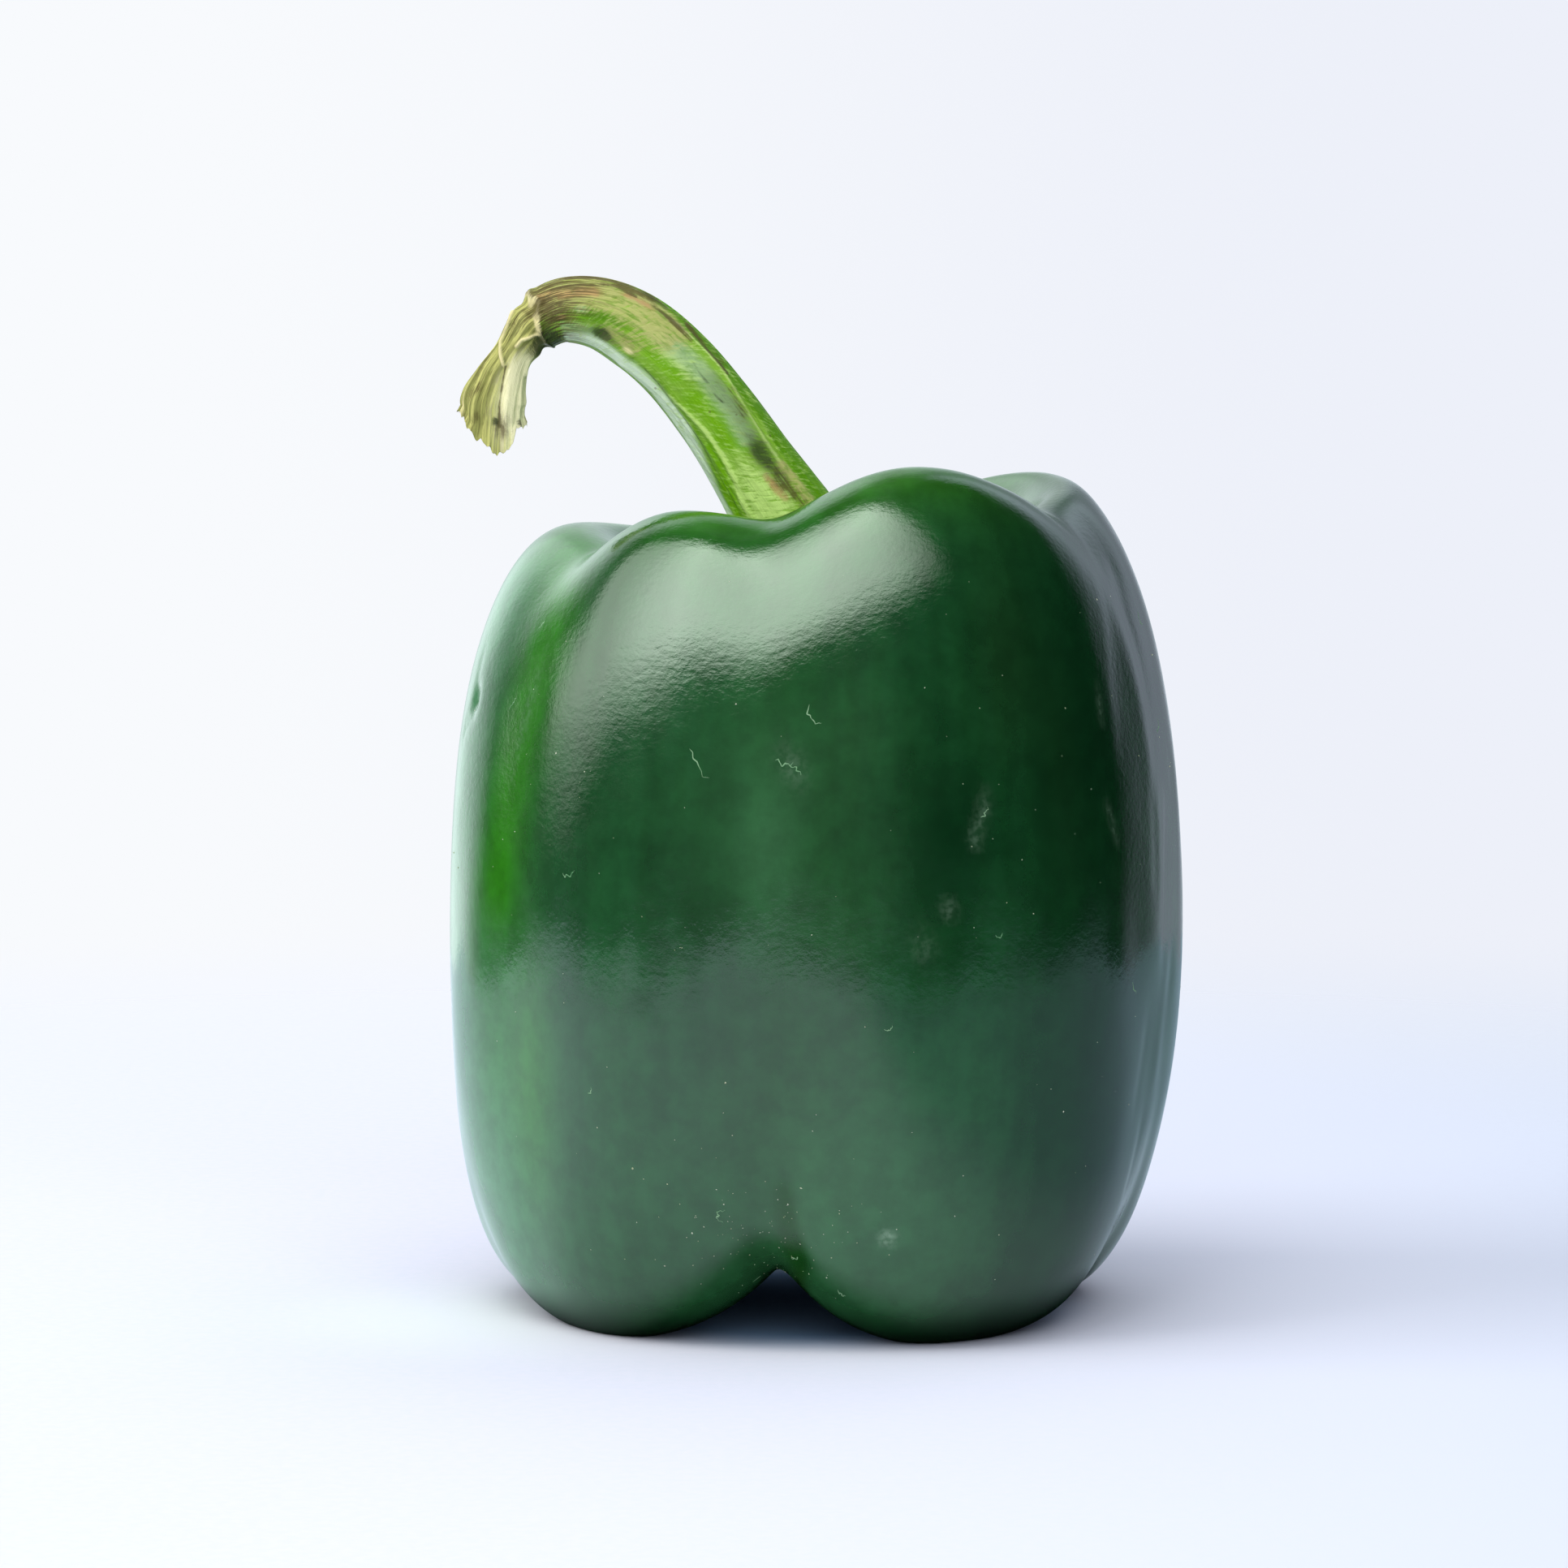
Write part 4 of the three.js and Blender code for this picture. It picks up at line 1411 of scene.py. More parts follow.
@dataclass(frozen=True)
class WaxySkin:
    """Glossy green skin, cloudy and darker on the right, pale on the left lobe, vivid in its furrow.

    A span holds two levels of a noise or a height, and the share, brightness or roughness at each. The
    tints are the mesh's masks in the order that they are laid on, each with its tone and share. The
    noises' scales are those of clouds, mottles, smears, gloss and peel, per metre. The darker right
    side is partly painted shade, the pale left lobe and the crest band are partly painted light, and
    the sole is darkened near the ground as painted shade.
    """

    lobe: Colour = (20, 65, 33)
    cloud: Colour = (29, 80, 41)
    # deep: dark green of the streaks, and the tone of the painted shade on the right side
    deep: Colour = (3, 34, 12)
    furrow: Colour = (17, 66, 19)
    bloom: Colour = (136, 164, 138)
    # Of these tints, pale and crest are partly painted light and deep is partly painted shade.
    tints: tuple[tuple[str, Colour, float], ...] = (
        ("olive", (27, 43, 16), 0.8), ("pale", (80, 142, 94), 0.95), ("crest", (56, 120, 8), 0.85),
        ("deep", deep, 0.8), ("strip", (38, 112, 14), 1.0), ("notch", (24, 62, 15), 0.8),
        ("hollow", (38, 92, 30), 0.8), ("crease", furrow, 0.9), ("scar", (122, 104, 62), 1.0),
    )
    streak_counts: Pair = (42.0, 2.4)
    noise_scales: tuple[float, ...] = (60.0, 330.0, 1400.0, 140.0, 1300.0)
    clouding: Span = (0.35, 0.65, 0.0, 0.6)
    broad_streaks: Span = (0.40, 0.72, 0.0, 0.35)
    fine_streaks: Span = (0.3, 0.75, 0.0, 0.2)
    furrow_share: float = 0.55
    freckling: Span = (0.25, 0.75, 0.84, 1.18)
    # sole: painted shade, the colour darkened to a quarter of its brightness within a few millimetres of the
    # ground
    sole: Span = (0.0002, 0.006, 0.25, 1.0)
    smearing: Span = (0.35, 0.65, 0.2, 1.0)
    gloss: Span = (0.3, 0.7, 0.09, 0.165)
    scar_roughness: float = 0.4
    wrinkle_scale: Vector = (170.0, 240.0, 1.0)
    wrinkle_shares: Pair = (0.8, 0.9)
    calming: Span = (0.030, 0.062, 0.3, 1.0)
    wrinkle_height: float = 0.000024
    index: float = 1.58

    def material(self, effects: Effects) -> Material:
        """The skin's material, on the fruit's own map, fields and place."""
        material, graph, shader = new_material("waxy_green_skin")
        place, wrap = graph.place(), graph.wrap()
        level = graph.parts(place)[2]
        cloud_scale, mottle_scale, smear_scale, gloss_scale, peel_scale = self.noise_scales
        round_count, along_count = self.streak_counts
        inputs = {"Map": wrap, "Round": round_count, "Along": along_count}
        streaks = graph.group(effects.streaks, inputs).outputs
        clouds = graph.noise(place, cloud_scale, 4.0, 0.6)
        colour = graph.over(graph.span(clouds, *self.clouding), self.lobe, self.cloud)
        colour = graph.over(graph.span(streaks["Broad"], *self.broad_streaks), colour, self.deep)
        colour = graph.over(graph.span(streaks["Fine"], *self.fine_streaks), colour, self.furrow)
        depth = graph.sum("POWER", graph.attribute("furrow"), 2.0)
        colour = graph.over(graph.times(depth, self.furrow_share), colour, self.furrow)
        for name, tone, share in self.tints:
            colour = graph.within(colour, name, share, tone)
        mottle = graph.span(graph.noise(place, mottle_scale, 4.0, 0.6), *self.freckling)
        # The mottle's factor also darkens the colour close to the ground, as painted shade at the soles.
        colour = graph.scaled(colour, graph.times(mottle, graph.span(level, *self.sole)))
        smear = graph.span(graph.noise(place, smear_scale), *self.smearing)
        colour = graph.within(colour, "bloom", smear, self.bloom)
        graph.feed(shader.inputs["Base Color"], colour)
        gloss = graph.span(graph.noise(place, gloss_scale, 4.0, 0.6), *self.gloss)
        gloss = graph.sum("ADD", gloss, graph.times(graph.attribute("scar"), self.scar_roughness))
        graph.feed(shader.inputs["Roughness"], gloss)
        inputs = {"Vector": wrap, "Scale": self.wrinkle_scale}
        stretched = graph.node("ShaderNodeMapping", inputs).outputs[0]
        wrinkle_share, peel_share = self.wrinkle_shares
        wrinkles = graph.times(graph.noise(stretched, 1.0, 3.0, 0.6), wrinkle_share)
        peel = graph.times(graph.noise(place, peel_scale, 3.0, 0.6), peel_share)
        height = graph.times(graph.sum("ADD", wrinkles, peel), graph.span(level, *self.calming))
        graph.bump(shader, height, self.wrinkle_height)
        shader.inputs["IOR"].default_value = self.index
        return material


@dataclass(frozen=True)
class StemFinish:
    """Ribbed green stem, mottled, tan and brown over the bend, bruised, and dry and cream at its end.

    A tone that fills one of the mesh's masks has the mask's name. Olive and straw are the streaks of
    the dry skirt. Counts are streaks round the stem and lengths of streak along it, and each of the
    slanting fibres' two coordinates has a share of both. A fleck has a density, a radius and a share.
    """

    green: Colour = (116, 164, 34)
    bright: Colour = (142, 190, 60)
    vivid: Colour = (116, 176, 2)
    # pale: also the tone of the painted light on the stem's base
    pale: Colour = (204, 234, 134)
    teal: Colour = (172, 200, 150)
    tan: Colour = (190, 188, 116)
    pink: Colour = (190, 150, 100)
    brown: Colour = (88, 77, 43)
    dark: Colour = (46, 56, 36)
    cream: Colour = (246, 234, 172)
    paper: Colour = (255, 250, 200)
    # rim: tone of the painted highlight along the stem's left edge
    rim: Colour = (238, 254, 228)
    olive: Colour = (146, 148, 82)
    straw: Colour = (222, 220, 132)
    # leaf: also the tone of the painted shade down the stem's right edge, and of the sepals
    leaf: Colour = (88, 146, 6)
    roughness: float = 0.40
    dry_roughness: float = 0.75
    roughness_swing: Span = (0.3, 0.7, -0.08, 0.10)
    shine: float = 0.14
    bump_height: float = 0.00014
    fibres: Pairs = ((-18.0, -26.0), (-51.0, 228.0))
    coarse_counts: Pair = (12.0, 9.0)
    line_counts: Pair = (34.0, 4.0)
    blotch_scale: float = 520.0
    swing_levels: Pair = (0.32, 0.68)
    patch_levels: Pair = (0.10, 0.85)
    fleck: Vector = (1300.0, 0.25, 0.02)
    fleck_share: float = 0.5
    inside_share: float = 0.6
    streaked: Pair = (0.35, 0.65)
    rind: Span = (0.48, 0.66, 0.0, 0.55)
    rind_blotches: Span = (0.34, 0.58, 0.3, 1.0)
    leaf_lines: Span = (0.54, 0.72, 0.0, 0.3)
    green_blotches: Span = (0.50, 0.70, 0.0, 0.3)
    leaf_mottle: Span = (0.47, 0.62, 0.0, 0.55)
    pink_mottle: Span = (0.45, 0.65, 0.0, 0.35)
    dry_veins: Span = (0.50, 0.62, 0.0, 0.6)
    brown_lines: Span = (0.42, 0.54, 0.0, 0.95)
    sepals: Span = (0.4, 0.75, 0.0, 0.85)
    fibre_bump: float = 0.8

    def patched(self, graph: Graph, colour: Socket, *patches: Patch) -> Socket:
        """A colour with tones laid over it, each inside the mesh's mask of its name.

        Args:
            graph: the material's graph.
            colour: the colour so far.
            patches: for each tone in turn its name, the noise that breaks up the mask's soft edge,
                how far that strengthens and weakens the mask, and the mask's highest value.

        Returns:
            The new colour.
        """
        for name, noise, spread, most in patches:
            swing = graph.span(noise, *self.swing_levels, 1 - spread, 1 + spread, Change.EVEN)
            mask = graph.times(graph.attribute(name), swing)
            mask = graph.span(mask, *self.patch_levels, 0.0, most)
            colour = graph.over(mask, colour, getattr(self, name))
        return colour

    def material(self, effects: Effects) -> Material:
        """The stem's material, on its own map, fields and place."""
        material, graph, shader = new_material("ribbed_stem")
        place, wrap = graph.place(), graph.wrap()
        streaks = [
            graph.group(effects.streaks, {"Map": wrap, "Round": counts[0], "Along": counts[1]}).outputs
            for counts in (self.coarse_counts, self.line_counts)
        ]
        (coarse, wide), (broad, fine) = ((pair["Broad"], pair["Fine"]) for pair in streaks)
        share = graph.parts(wrap)
        slant = [graph.sum("ADD", graph.times(share[0], a), graph.times(share[1], b)) for a, b in self.fibres]
        slanting = graph.node("ShaderNodeCombineXYZ", {0: slant[0], 1: slant[1]}).outputs[0]
        fibre = graph.noise(slanting, 1.0, 4.0, 0.65)
        blotches = graph.noise(place, self.blotch_scale, 5.0, 0.7)
        rough = graph.sum("ADD", graph.times(blotches, 0.5), graph.times(fine, 0.5))

        colour = graph.over(graph.span(coarse, *self.streaked), self.green, self.bright)
        # Among these patches, rim is painted highlight, pale is partly painted light on the base and leaf is
        # partly painted shade on the right edge.
        colour = self.patched(
            graph, colour, ("vivid", fibre, 0.6, 0.95), ("leaf", wide, 0.5, 0.95),
            ("pale", fibre, 0.7, 0.9), ("teal", fibre, 0.4, 0.75), ("rim", fine, 0.3, 0.95),
        )
        rind = graph.times(graph.span(fibre, *self.rind), graph.span(blotches, *self.rind_blotches))
        colour = graph.over(rind, colour, self.pale)
        colour = graph.over(graph.span(fine, *self.leaf_lines), colour, self.leaf)
        colour = graph.over(graph.span(blotches, *self.green_blotches), colour, self.green)
        colour = self.patched(graph, colour, ("tan", fibre, 0.7, 0.85))
        colour = graph.within(colour, "tan", graph.span(wide, *self.leaf_mottle), self.leaf)
        colour = graph.within(colour, "lined", graph.span(wide, *self.pink_mottle), self.pink)
        colour = self.patched(graph, colour, ("pink", blotches, 0.7, 0.8))
        dry = graph.over(graph.span(broad, *self.streaked), self.olive, self.straw)
        dry = graph.over(graph.span(fine, *self.dry_veins), dry, self.brown)
        colour = graph.over(graph.attribute("dry"), colour, dry)
        colour = self.patched(
            graph, colour, ("cream", fine, 0.3, 1.0), ("paper", fine, 0.45, 1.0), ("brown", rough, 1.0, 0.85)
        )
        colour = graph.within(colour, "lined", graph.span(fine, *self.brown_lines), self.brown)
        colour = self.patched(graph, colour, ("dark", fibre, 0.4, 0.85))
        inputs = dict(zip(("Place", "Density", "Radius", "Share"), (place, *self.fleck)))
        flecks = graph.group(effects.flecks, inputs).outputs[0]
        colour = graph.over(graph.times(flecks, self.fleck_share), colour, self.brown)
        colour = graph.within(colour, "inside", self.inside_share, self.brown)
        colour = graph.over(graph.span(graph.attribute("calyx"), *self.sepals), colour, self.leaf)
        graph.feed(shader.inputs["Base Color"], colour)

        matt = graph.span(graph.attribute("dry"), 0.0, 1.0, self.roughness, self.dry_roughness)
        matt = graph.sum("ADD", matt, graph.span(blotches, *self.roughness_swing))
        graph.feed(shader.inputs["Roughness"], matt)
        height = graph.sum("ADD", fine, graph.times(fibre, self.fibre_bump))
        graph.bump(shader, height, self.bump_height)
        shader.inputs["Specular IOR Level"].default_value = self.shine
        return material


@dataclass(frozen=True)
class PaleMark:
    """Matt pale finish of scratches and dust, mottled so that no two look alike."""

    name: str
    first: Colour
    second: Colour
    roughness: float = 0.7
    mottle_scale: float = 400.0
    mottle: Pair = (0.35, 0.65)

    def material(self) -> Material:
        """The mark's material, on its own place."""
        material, graph, shader = new_material(self.name)
        mottle = graph.span(graph.noise(graph.place(), self.mottle_scale, 2.0), *self.mottle)
        graph.feed(shader.inputs["Base Color"], graph.over(mottle, self.first, self.second))
        shader.inputs["Roughness"].default_value = self.roughness
        return material


# The studio


@dataclass(frozen=True)
class SoftLight:
    """A square of light aimed at the pepper, seen by matt surfaces only.

    Attributes:
        name: its name.
        azimuth: where it stands, in degrees.
        elevation: how high it stands, in degrees above the ground.
        distance: from the pepper's middle, in metres.
        side: its side in metres.
        radiance: how bright it looks.
        colour: its tint.
    """

    name: str
    azimuth: float
    elevation: float
    distance: float
    side: float
    radiance: float
    colour: Colour = (1.0, 1.0, 1.0)

    def build(self, target: Array) -> None:
        """Adds the light, aimed at a target in metres."""
        light = bpy.data.lights.new(self.name, "AREA")
        light.shape = "SQUARE"
        light.size = self.side
        light.energy = self.radiance * math.pi * self.side**2
        light.color = self.colour
        lamp = bpy.data.objects.new(self.name, light)
        turn, lift = math.radians(self.azimuth), math.radians(self.elevation)
        flat = math.cos(lift)
        away = np.array([flat * math.cos(turn), flat * math.sin(turn), math.sin(lift)])
        lamp.location = target + away * self.distance
        lamp.rotation_euler = (math.pi / 2 - lift, 0, turn + math.pi / 2)
        lamp.visible_glossy = False
        lamp.visible_camera = False
        bpy.context.scene.collection.objects.link(lamp)


@dataclass(frozen=True)
class Room:
    """What the gloss mirrors: a pale wall behind, a long softbox on the left and a dark rest.

    Directions are given by their height above the horizon and by their turn from +Y towards -X, both
    in degrees. Each curve is a row of pairs, the first value being a turn. A fade holds two heights
    and the share at each.

    Attributes:
        dark: the room in front.
        tint: the tint of everything bright.
        cool: the tint of the wall on the right, which has its share at each turn as coolness.
        glow: brightness of the dim room in front of the pepper.
        wall: brightness of the wall.
        wall_lean: how far the wall on the right leans back, in turn per degree of height.
        wall_band: heights of a dim stretch of the wall on the right, where it starts and ends.
        band_share: how much of the wall's light is missing there.
        right_turns: turns over which the lean and the dim stretch start.
        far_turns: turns over which both end.
        strength: brightness of the softbox.
        low_edge: height of its lower edge.
        high_side: the way its upper edge faces, which is a flat cut through the middle of the room.
        softness: half the height in which the lower edge fades, and a share for the upper one.
    """

    dark: Colour = (16, 22, 26)
    tint: Colour = (236, 252, 236)
    cool: Colour = (214, 226, 248)
    coolness: Pairs = ((0, 0.5), (45, 0.4), (62, 0), (250, 0), (310, 1.0), (345, 0.9), (360, 0.5))
    glow: Pairs = ((0, 0), (110, 0.08), (150, 0.20), (180, 0.18), (200, 0.02), (215, 0), (360, 0))
    glow_fade: Span = (10, 30, 1.0, 0.3)
    wall: Pairs = (
        (0, 0.95), (10, 1.1), (20, 2.0), (28, 2.2), (38, 2.0), (43, 1.4), (47, 1.0), (50, 0.7), (53, 0.4),
        (57, 0), (308, 0), (313, 0.35), (318, 0.9), (324, 1.45), (330, 1.3), (337, 0.66), (345, 0.5),
        (352, 0.9), (360, 1.05),
    )
    wall_fade: Span = (46, 66, 1.0, 0.1)
    wall_lean: float = 0.25
    wall_band: Span = (-14, -9, 11, 32)
    band_share: float = 0.5
    right_turns: Pair = (180, 240)
    far_turns: Pair = (328, 352)
    strength: Pairs = (
        (0, 0), (57, 0), (60, 0.6), (62, 1.4), (65, 2.6), (70, 3.2), (80, 3.6), (95, 5.2), (110, 7.7),
        (132, 9.8), (160, 8.2), (180, 6.9), (190, 5.8), (200, 4.4), (212, 2.6), (220, 1.3), (228, 0.3),
        (236, 0), (360, 0),
    )
    low_edge: Pairs = (
        (0, 3), (56, 5), (62, 4), (76, 4.5), (91, 9.5), (99, 13), (113, 17), (142, 27.5), (180, 34.5),
        (232, 41), (360, 41),
    )
    high_side: Vector = (0.559, 0.798, 0.227)
    softness: Pair = (6.5, 0.085)

    def colour(self, graph: Graph, way: Socket) -> Socket:
        """The room's colour in a direction.

        Args:
            graph: the world's graph.
            way: the direction.

        Returns:
            A colour, above 1 in the softbox.
        """
        part = graph.parts(way)
        height = graph.sum("DEGREES", graph.sum("ARCSINE", part[2]))
        turn = graph.sum("DEGREES", graph.sum("ARCTAN2", graph.times(part[0], -1.0), part[1]))
        turn = graph.sum("FLOORED_MODULO", turn, 360.0)
        lean = graph.span(turn, *self.right_turns, 0.0, self.wall_lean)
        lean = graph.times(graph.sum("MAXIMUM", height, 0.0), lean)
        lean = graph.times(lean, graph.span(turn, *self.far_turns, 1.0, 0.0))
        wall = graph.curve(graph.sum("SUBTRACT", turn, lean), self.wall)
        wall = graph.times(wall, graph.span(height, *self.wall_fade))
        start, dim, rise, end = self.wall_band
        band = graph.times(graph.span(height, start, dim), graph.span(height, rise, end, 1.0, 0.0))
        right = graph.span(turn, *self.far_turns, self.band_share, 0.0)
        right = graph.times(right, graph.span(turn, *self.right_turns))
        wall = graph.times(wall, graph.sum("SUBTRACT", 1.0, graph.times(band, right)))
        above = graph.sum("SUBTRACT", height, graph.curve(turn, self.low_edge))
        below = graph.measure("DOT_PRODUCT", way, self.high_side)
        low, high = self.softness
        box = graph.times(graph.span(above, -low, low), graph.span(below, -high, high, 1.0, 0.0))
        shine = graph.sum("MAXIMUM", graph.times(box, graph.curve(turn, self.strength)), wall)
        glow = graph.times(graph.curve(turn, self.glow), graph.span(height, *self.glow_fade))
        shine = graph.sum("MAXIMUM", shine, glow)
        tint = graph.over(graph.curve(turn, self.coolness), self.tint, self.cool)
        inputs = {0: graph.scaled(tint, shine), 1: rgba(*self.dark)[:3]}
        return graph.node("ShaderNodeVectorMath", inputs, operation="ADD").outputs[0]


@dataclass
class Studio:
    """Pale floor, plain background, soft lights and the camera.

    Lengths are in metres, but the camera's aim and its sensor in millimetres. A reach holds two
    distances or places along X, and as a span also the share at each. The gloss alone sees what is
    called mirrored. The floor has a painted pool of light by the left foot, a painted shadow under the
    pepper and painted shade on the right, and in the gloss painted shade round the feet and on the right.
    """

    photo_width: int = 1932
    pixels_per_metre: float = 10720.0
    camera_distance: float = 0.75
    camera_elevation: float = 5.0
    aim: Vector = (-3.9, 0.0, 60.2)
    sensor: float = 36.0
    clip: Pair = (0.01, 20.0)
    light_target: Vector = (0.0, 0.0, 0.055)
    floor_radius: float = 0.6
    floor_rows: tuple[int, int] = (96, 8)
    floor_fade: Pair = (0.12, 0.42)
    mirrored_fade: Pair = (0.39, 0.42)
    mirrored_middle: Vector = (-0.05, -0.04, 0.0)
    waver_scale: float = 7.0
    mirrored_waver: Span = (0.3, 0.7, -0.07, 0.05)
    floor_near: Colour = (231, 230, 241)
    floor_far: Colour = (228, 230, 238)
    floor_reach: Pair = (0.06, 0.34)
    floor_speckle: Colour = (216, 223, 234)
    grain_scale: float = 700.0
    grain: Span = (0.3, 0.7, 0.0, 0.2)
    # Painted shadow: a darker tone laid on the floor under the pepper, out to floor_shade
    floor_painted_shadow: Colour = (130, 160, 196)
    floor_shade: Pair = (0.020, 0.034)
    # Painted pool of light: a brighter tone laid on the floor by the left foot
    floor_painted_light: Vector = (-0.034, -0.010, 0.0)
    floor_painted_light_reach: Span = (0.0, 0.036, 0.8, 0.0)
    floor_painted_light_tone: Colour = (246, 246, 251)
    # Painted shade: the floor darkened towards the right, away from the light
    painted_shade_right: Colour = (193, 204, 217)
    painted_shade_right_reach: Span = (-0.06, 0.22, 0.0, 0.85)
    # Painted shadow in the gloss: the mirrored floor dark round the feet
    mirrored_shadow_tone: Colour = (30, 44, 40)
    mirrored_shadow_reach: Pair = (0.030, 0.040)
    floor_roughness: float = 0.55
    floor_mirrored: Colour = (236, 246, 255)
    # Painted shade in the gloss: the mirrored floor darker on the right
    mirrored_shade_right: Colour = (142, 164, 174)
    mirrored_shade_reach: Pair = (-0.02, 0.09)
    back_left: Colour = (248, 250, 253)
    back_right: Colour = (237, 240, 249)
    back_reach: Pair = (-0.10, 0.10)
    ambient_low: Colour = (34, 48, 70)
    ambient_high: Colour = (146, 156, 176)
    ambient_rise: Pair = (0.1, 0.8)
    room: Room = Room()
    lights: tuple[SoftLight, ...] = (
        SoftLight("key_softbox", -162, 30, 2.4, 1.8, 3.3),
        SoftLight("front_softbox", -122, 62, 2.4, 1.2, 3.0),
        SoftLight("front_fill", -86, 20, 2.4, 2.4, 1.9),
        SoftLight("top_softbox", 0, 80, 3.0, 3.2, 1.12, (0.98, 0.99, 1.0)),
        SoftLight("wall_bounce", 80, 36, 2.6, 2.4, 0.8, (0.93, 0.96, 1.0)),
    )

    def floor(self) -> None:
        """Adds a flat disc that fades out round its rim, so that it melts into the background."""
        sides, rings = self.floor_rows
        turn = columns_round(sides)
        reach = np.linspace(0, self.floor_radius, rings + 1)[1:]
        x, y = reach * np.cos(turn)[:, None], reach * np.sin(turn)[:, None]
        points = np.vstack([[0.0, 0.0, 0.0], np.stack([x, y, 0 * x], -1).reshape(-1, 3)])
        side, rank = np.meshgrid(np.arange(sides), np.arange(rings - 1), indexing="ij")
        here = 1 + side * rings + rank
        there = 1 + (side + 1) % sides * rings + rank
        quads = np.stack([here, here + 1, there + 1, there], -1).reshape(-1, 4)
        first = 1 + np.arange(sides) * rings
        triangles = np.stack([np.zeros(sides, int), first, np.roll(first, -1)], -1)
        disc = mesh_object("studio_floor", points, quads, triangles)
        disc.data.materials.append(self.floor_material())

    def floor_material(self) -> Material:
        """Pale matt paper that fades out with the distance, sooner to the eye than in the gloss."""
        material, graph, shader = new_material("pale_floor")
        place = graph.place()
        sideways = graph.parts(place)[0]
        distance = graph.measure("DISTANCE", place, (0.0, 0.0, 0.0))
        seen = graph.over(graph.span(distance, *self.floor_reach), self.floor_near, self.floor_far)
        # painted shade towards the right
        seen = graph.over(graph.span(sideways, *self.painted_shade_right_reach), seen, self.painted_shade_right)
        grain = graph.span(graph.noise(place, self.grain_scale), *self.grain)
        seen = graph.over(grain, seen, self.floor_speckle)
        # painted pool of light by the left foot
        beside = graph.measure("DISTANCE", place, self.floor_painted_light)
        seen = graph.over(graph.span(beside, *self.floor_painted_light_reach), seen, self.floor_painted_light_tone)
        # painted shadow under the pepper
        seen = graph.over(graph.span(distance, *self.floor_shade, 1.0, 0.0), seen, self.floor_painted_shadow)
        # In the gloss the floor gets painted shade on the right and painted shadow round the feet.
        right = graph.span(sideways, *self.mirrored_shade_reach)
        mirrored = graph.over(right, self.floor_mirrored, self.mirrored_shade_right)
        dark = graph.span(distance, *self.mirrored_shadow_reach, 1.0, 0.0)
        mirrored = graph.over(dark, mirrored, self.mirrored_shadow_tone)
        path = graph.node("ShaderNodeLightPath").outputs["Is Glossy Ray"]
        graph.feed(shader.inputs["Base Color"], graph.over(path, seen, mirrored))
        away = graph.measure("DISTANCE", place, self.mirrored_middle)
        waver = graph.span(graph.noise(place, self.waver_scale, 2.0), *self.mirrored_waver)
        away = graph.sum("ADD", away, waver)
        plain = graph.span(distance, *self.floor_fade, 1.0, 0.0)
        glossy = graph.span(away, *self.mirrored_fade, 1.0, 0.0)
        alpha = graph.node("ShaderNodeMix", {0: path, 2: plain, 3: glossy}).outputs[0]
        graph.feed(shader.inputs["Alpha"], alpha)
        shader.inputs["Roughness"].default_value = self.floor_roughness
        shader.inputs["Specular IOR Level"].default_value = 0.0
        return material

    def world(self) -> None:
        """A plain pale background to the eye, the room to the gloss, and dim light to the rest."""
        world = bpy.data.worlds.new("pale_studio")
        world.use_nodes = True
        bpy.context.scene.world = world
        graph = Graph(world.node_tree)
        path = graph.node("ShaderNodeLightPath").outputs
        way = graph.node("ShaderNodeTexCoord").outputs["Generated"]
        sideways, _, height = graph.parts(way)
        seen = graph.over(graph.span(sideways, *self.back_reach), self.back_left, self.back_right)
        dim = graph.over(graph.span(height, *self.ambient_rise), self.ambient_low, self.ambient_high)
        unseen = graph.over(path["Is Glossy Ray"], dim, self.room.colour(graph, way))
        colour = graph.over(path["Is Camera Ray"], unseen, seen)
        graph.feed(world.node_tree.nodes["Background"].inputs["Color"], colour)

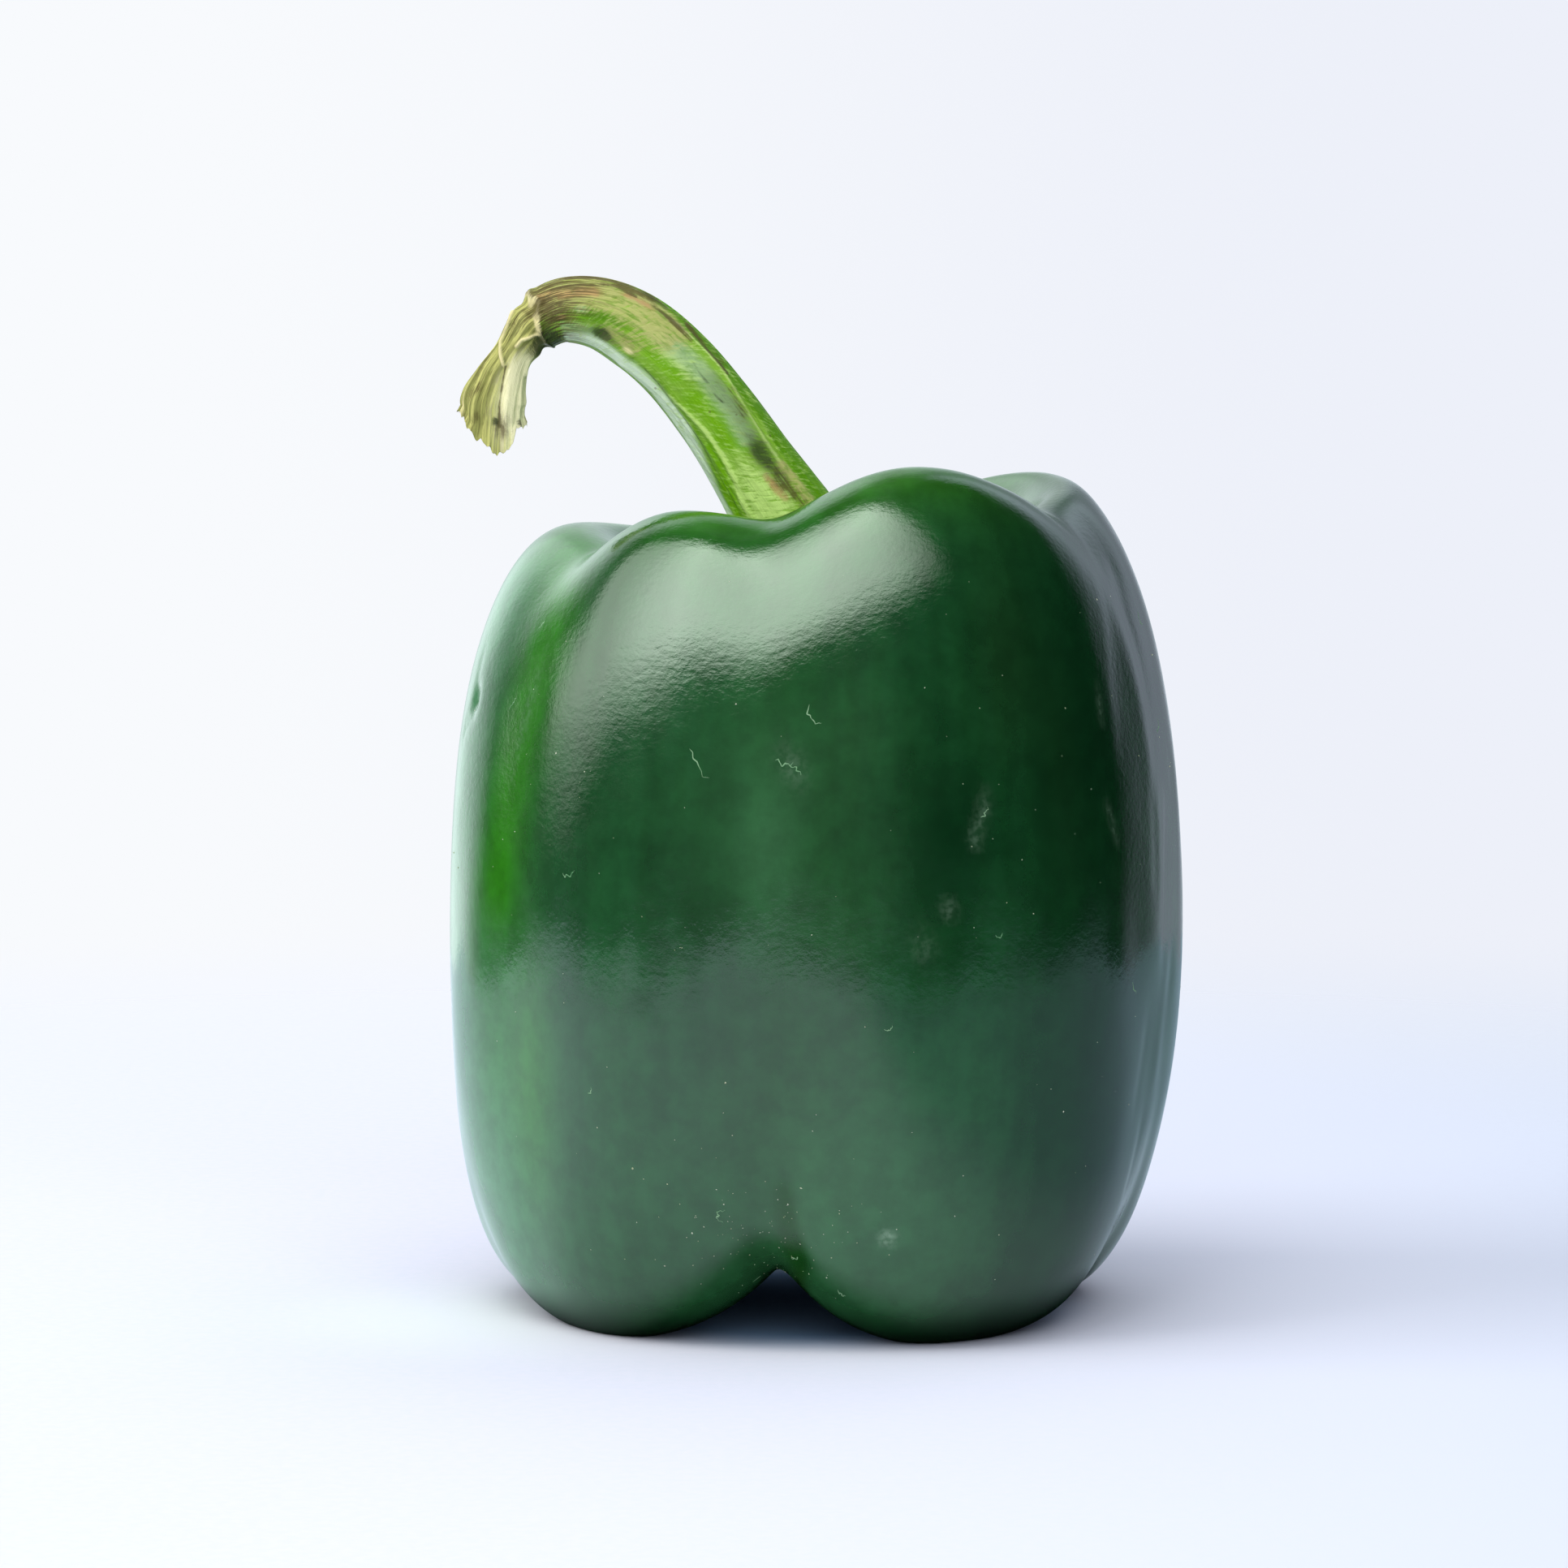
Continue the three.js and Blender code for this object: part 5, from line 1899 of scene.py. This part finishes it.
    def camera(self, offset: Array) -> None:
        """The camera at the photograph's angle, aimed at a point of the pepper's own frame."""
        target = (np.array(self.aim) + offset) * MM
        lift = math.radians(self.camera_elevation)
        data = bpy.data.cameras.new("view")
        data.sensor_width = self.sensor
        data.lens = self.sensor * self.pixels_per_metre * self.camera_distance / self.photo_width
        data.clip_start, data.clip_end = self.clip
        camera = bpy.data.objects.new("view", data)
        camera.location = target + self.camera_distance * np.array([0, -math.cos(lift), math.sin(lift)])
        camera.rotation_euler = (math.pi / 2 - lift, 0, 0)
        bpy.context.scene.collection.objects.link(camera)
        bpy.context.scene.camera = camera

    def build(self, offset: Array) -> None:
        """Sets up the whole studio round the pepper."""
        view = bpy.context.scene.view_settings
        view.view_transform = "Standard"
        view.look = "None"
        self.floor()
        self.world()
        for light in self.lights:
            light.build(np.array(self.light_target))
        self.camera(offset)


def dress(piece: Piece, material: Material) -> None:
    """Gives a piece its material, its body and its material slot, and reports it."""
    piece.data.materials.append(material)
    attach(piece, "root")
    LOG.info("%s: %d faces", piece.name, len(piece.data.polygons))


def main() -> None:
    """Builds the pepper and the studio round it."""
    logging.basicConfig(level=logging.INFO, format="%(name)s %(message)s")
    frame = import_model()
    fruit = Fruit()
    low, high = fruit.grid.reshape(-1, 3).min(0), fruit.grid.reshape(-1, 3).max(0)
    solid_low, solid_high = (np.array(corner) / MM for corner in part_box("fruit"))
    offset = (solid_low + solid_high) / 2 - (low + high) / 2
    offset[2] = 0.0
    LOG.info("%d solids, offset %s mm", len(frame["nodes"]), np.round(offset, 3))
    effects = Effects(streak_group(), fleck_group())

    skin = fruit.build(offset)
    dress(skin, WaxySkin().material(effects))
    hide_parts("fruit")
    stem = Stem(fruit).build(offset)
    dress(stem, StemFinish().material(effects))
    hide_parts("stem")
    scratches, specks = Marks(fruit).build(offset)
    dress(scratches, PaleMark("pale_scratch", (90, 136, 94), (128, 162, 124)).material())
    dress(specks, PaleMark("pale_dust", (214, 218, 196), (168, 176, 140)).material())
    Studio().build(offset)


if __name__ == "__main__":
    main()
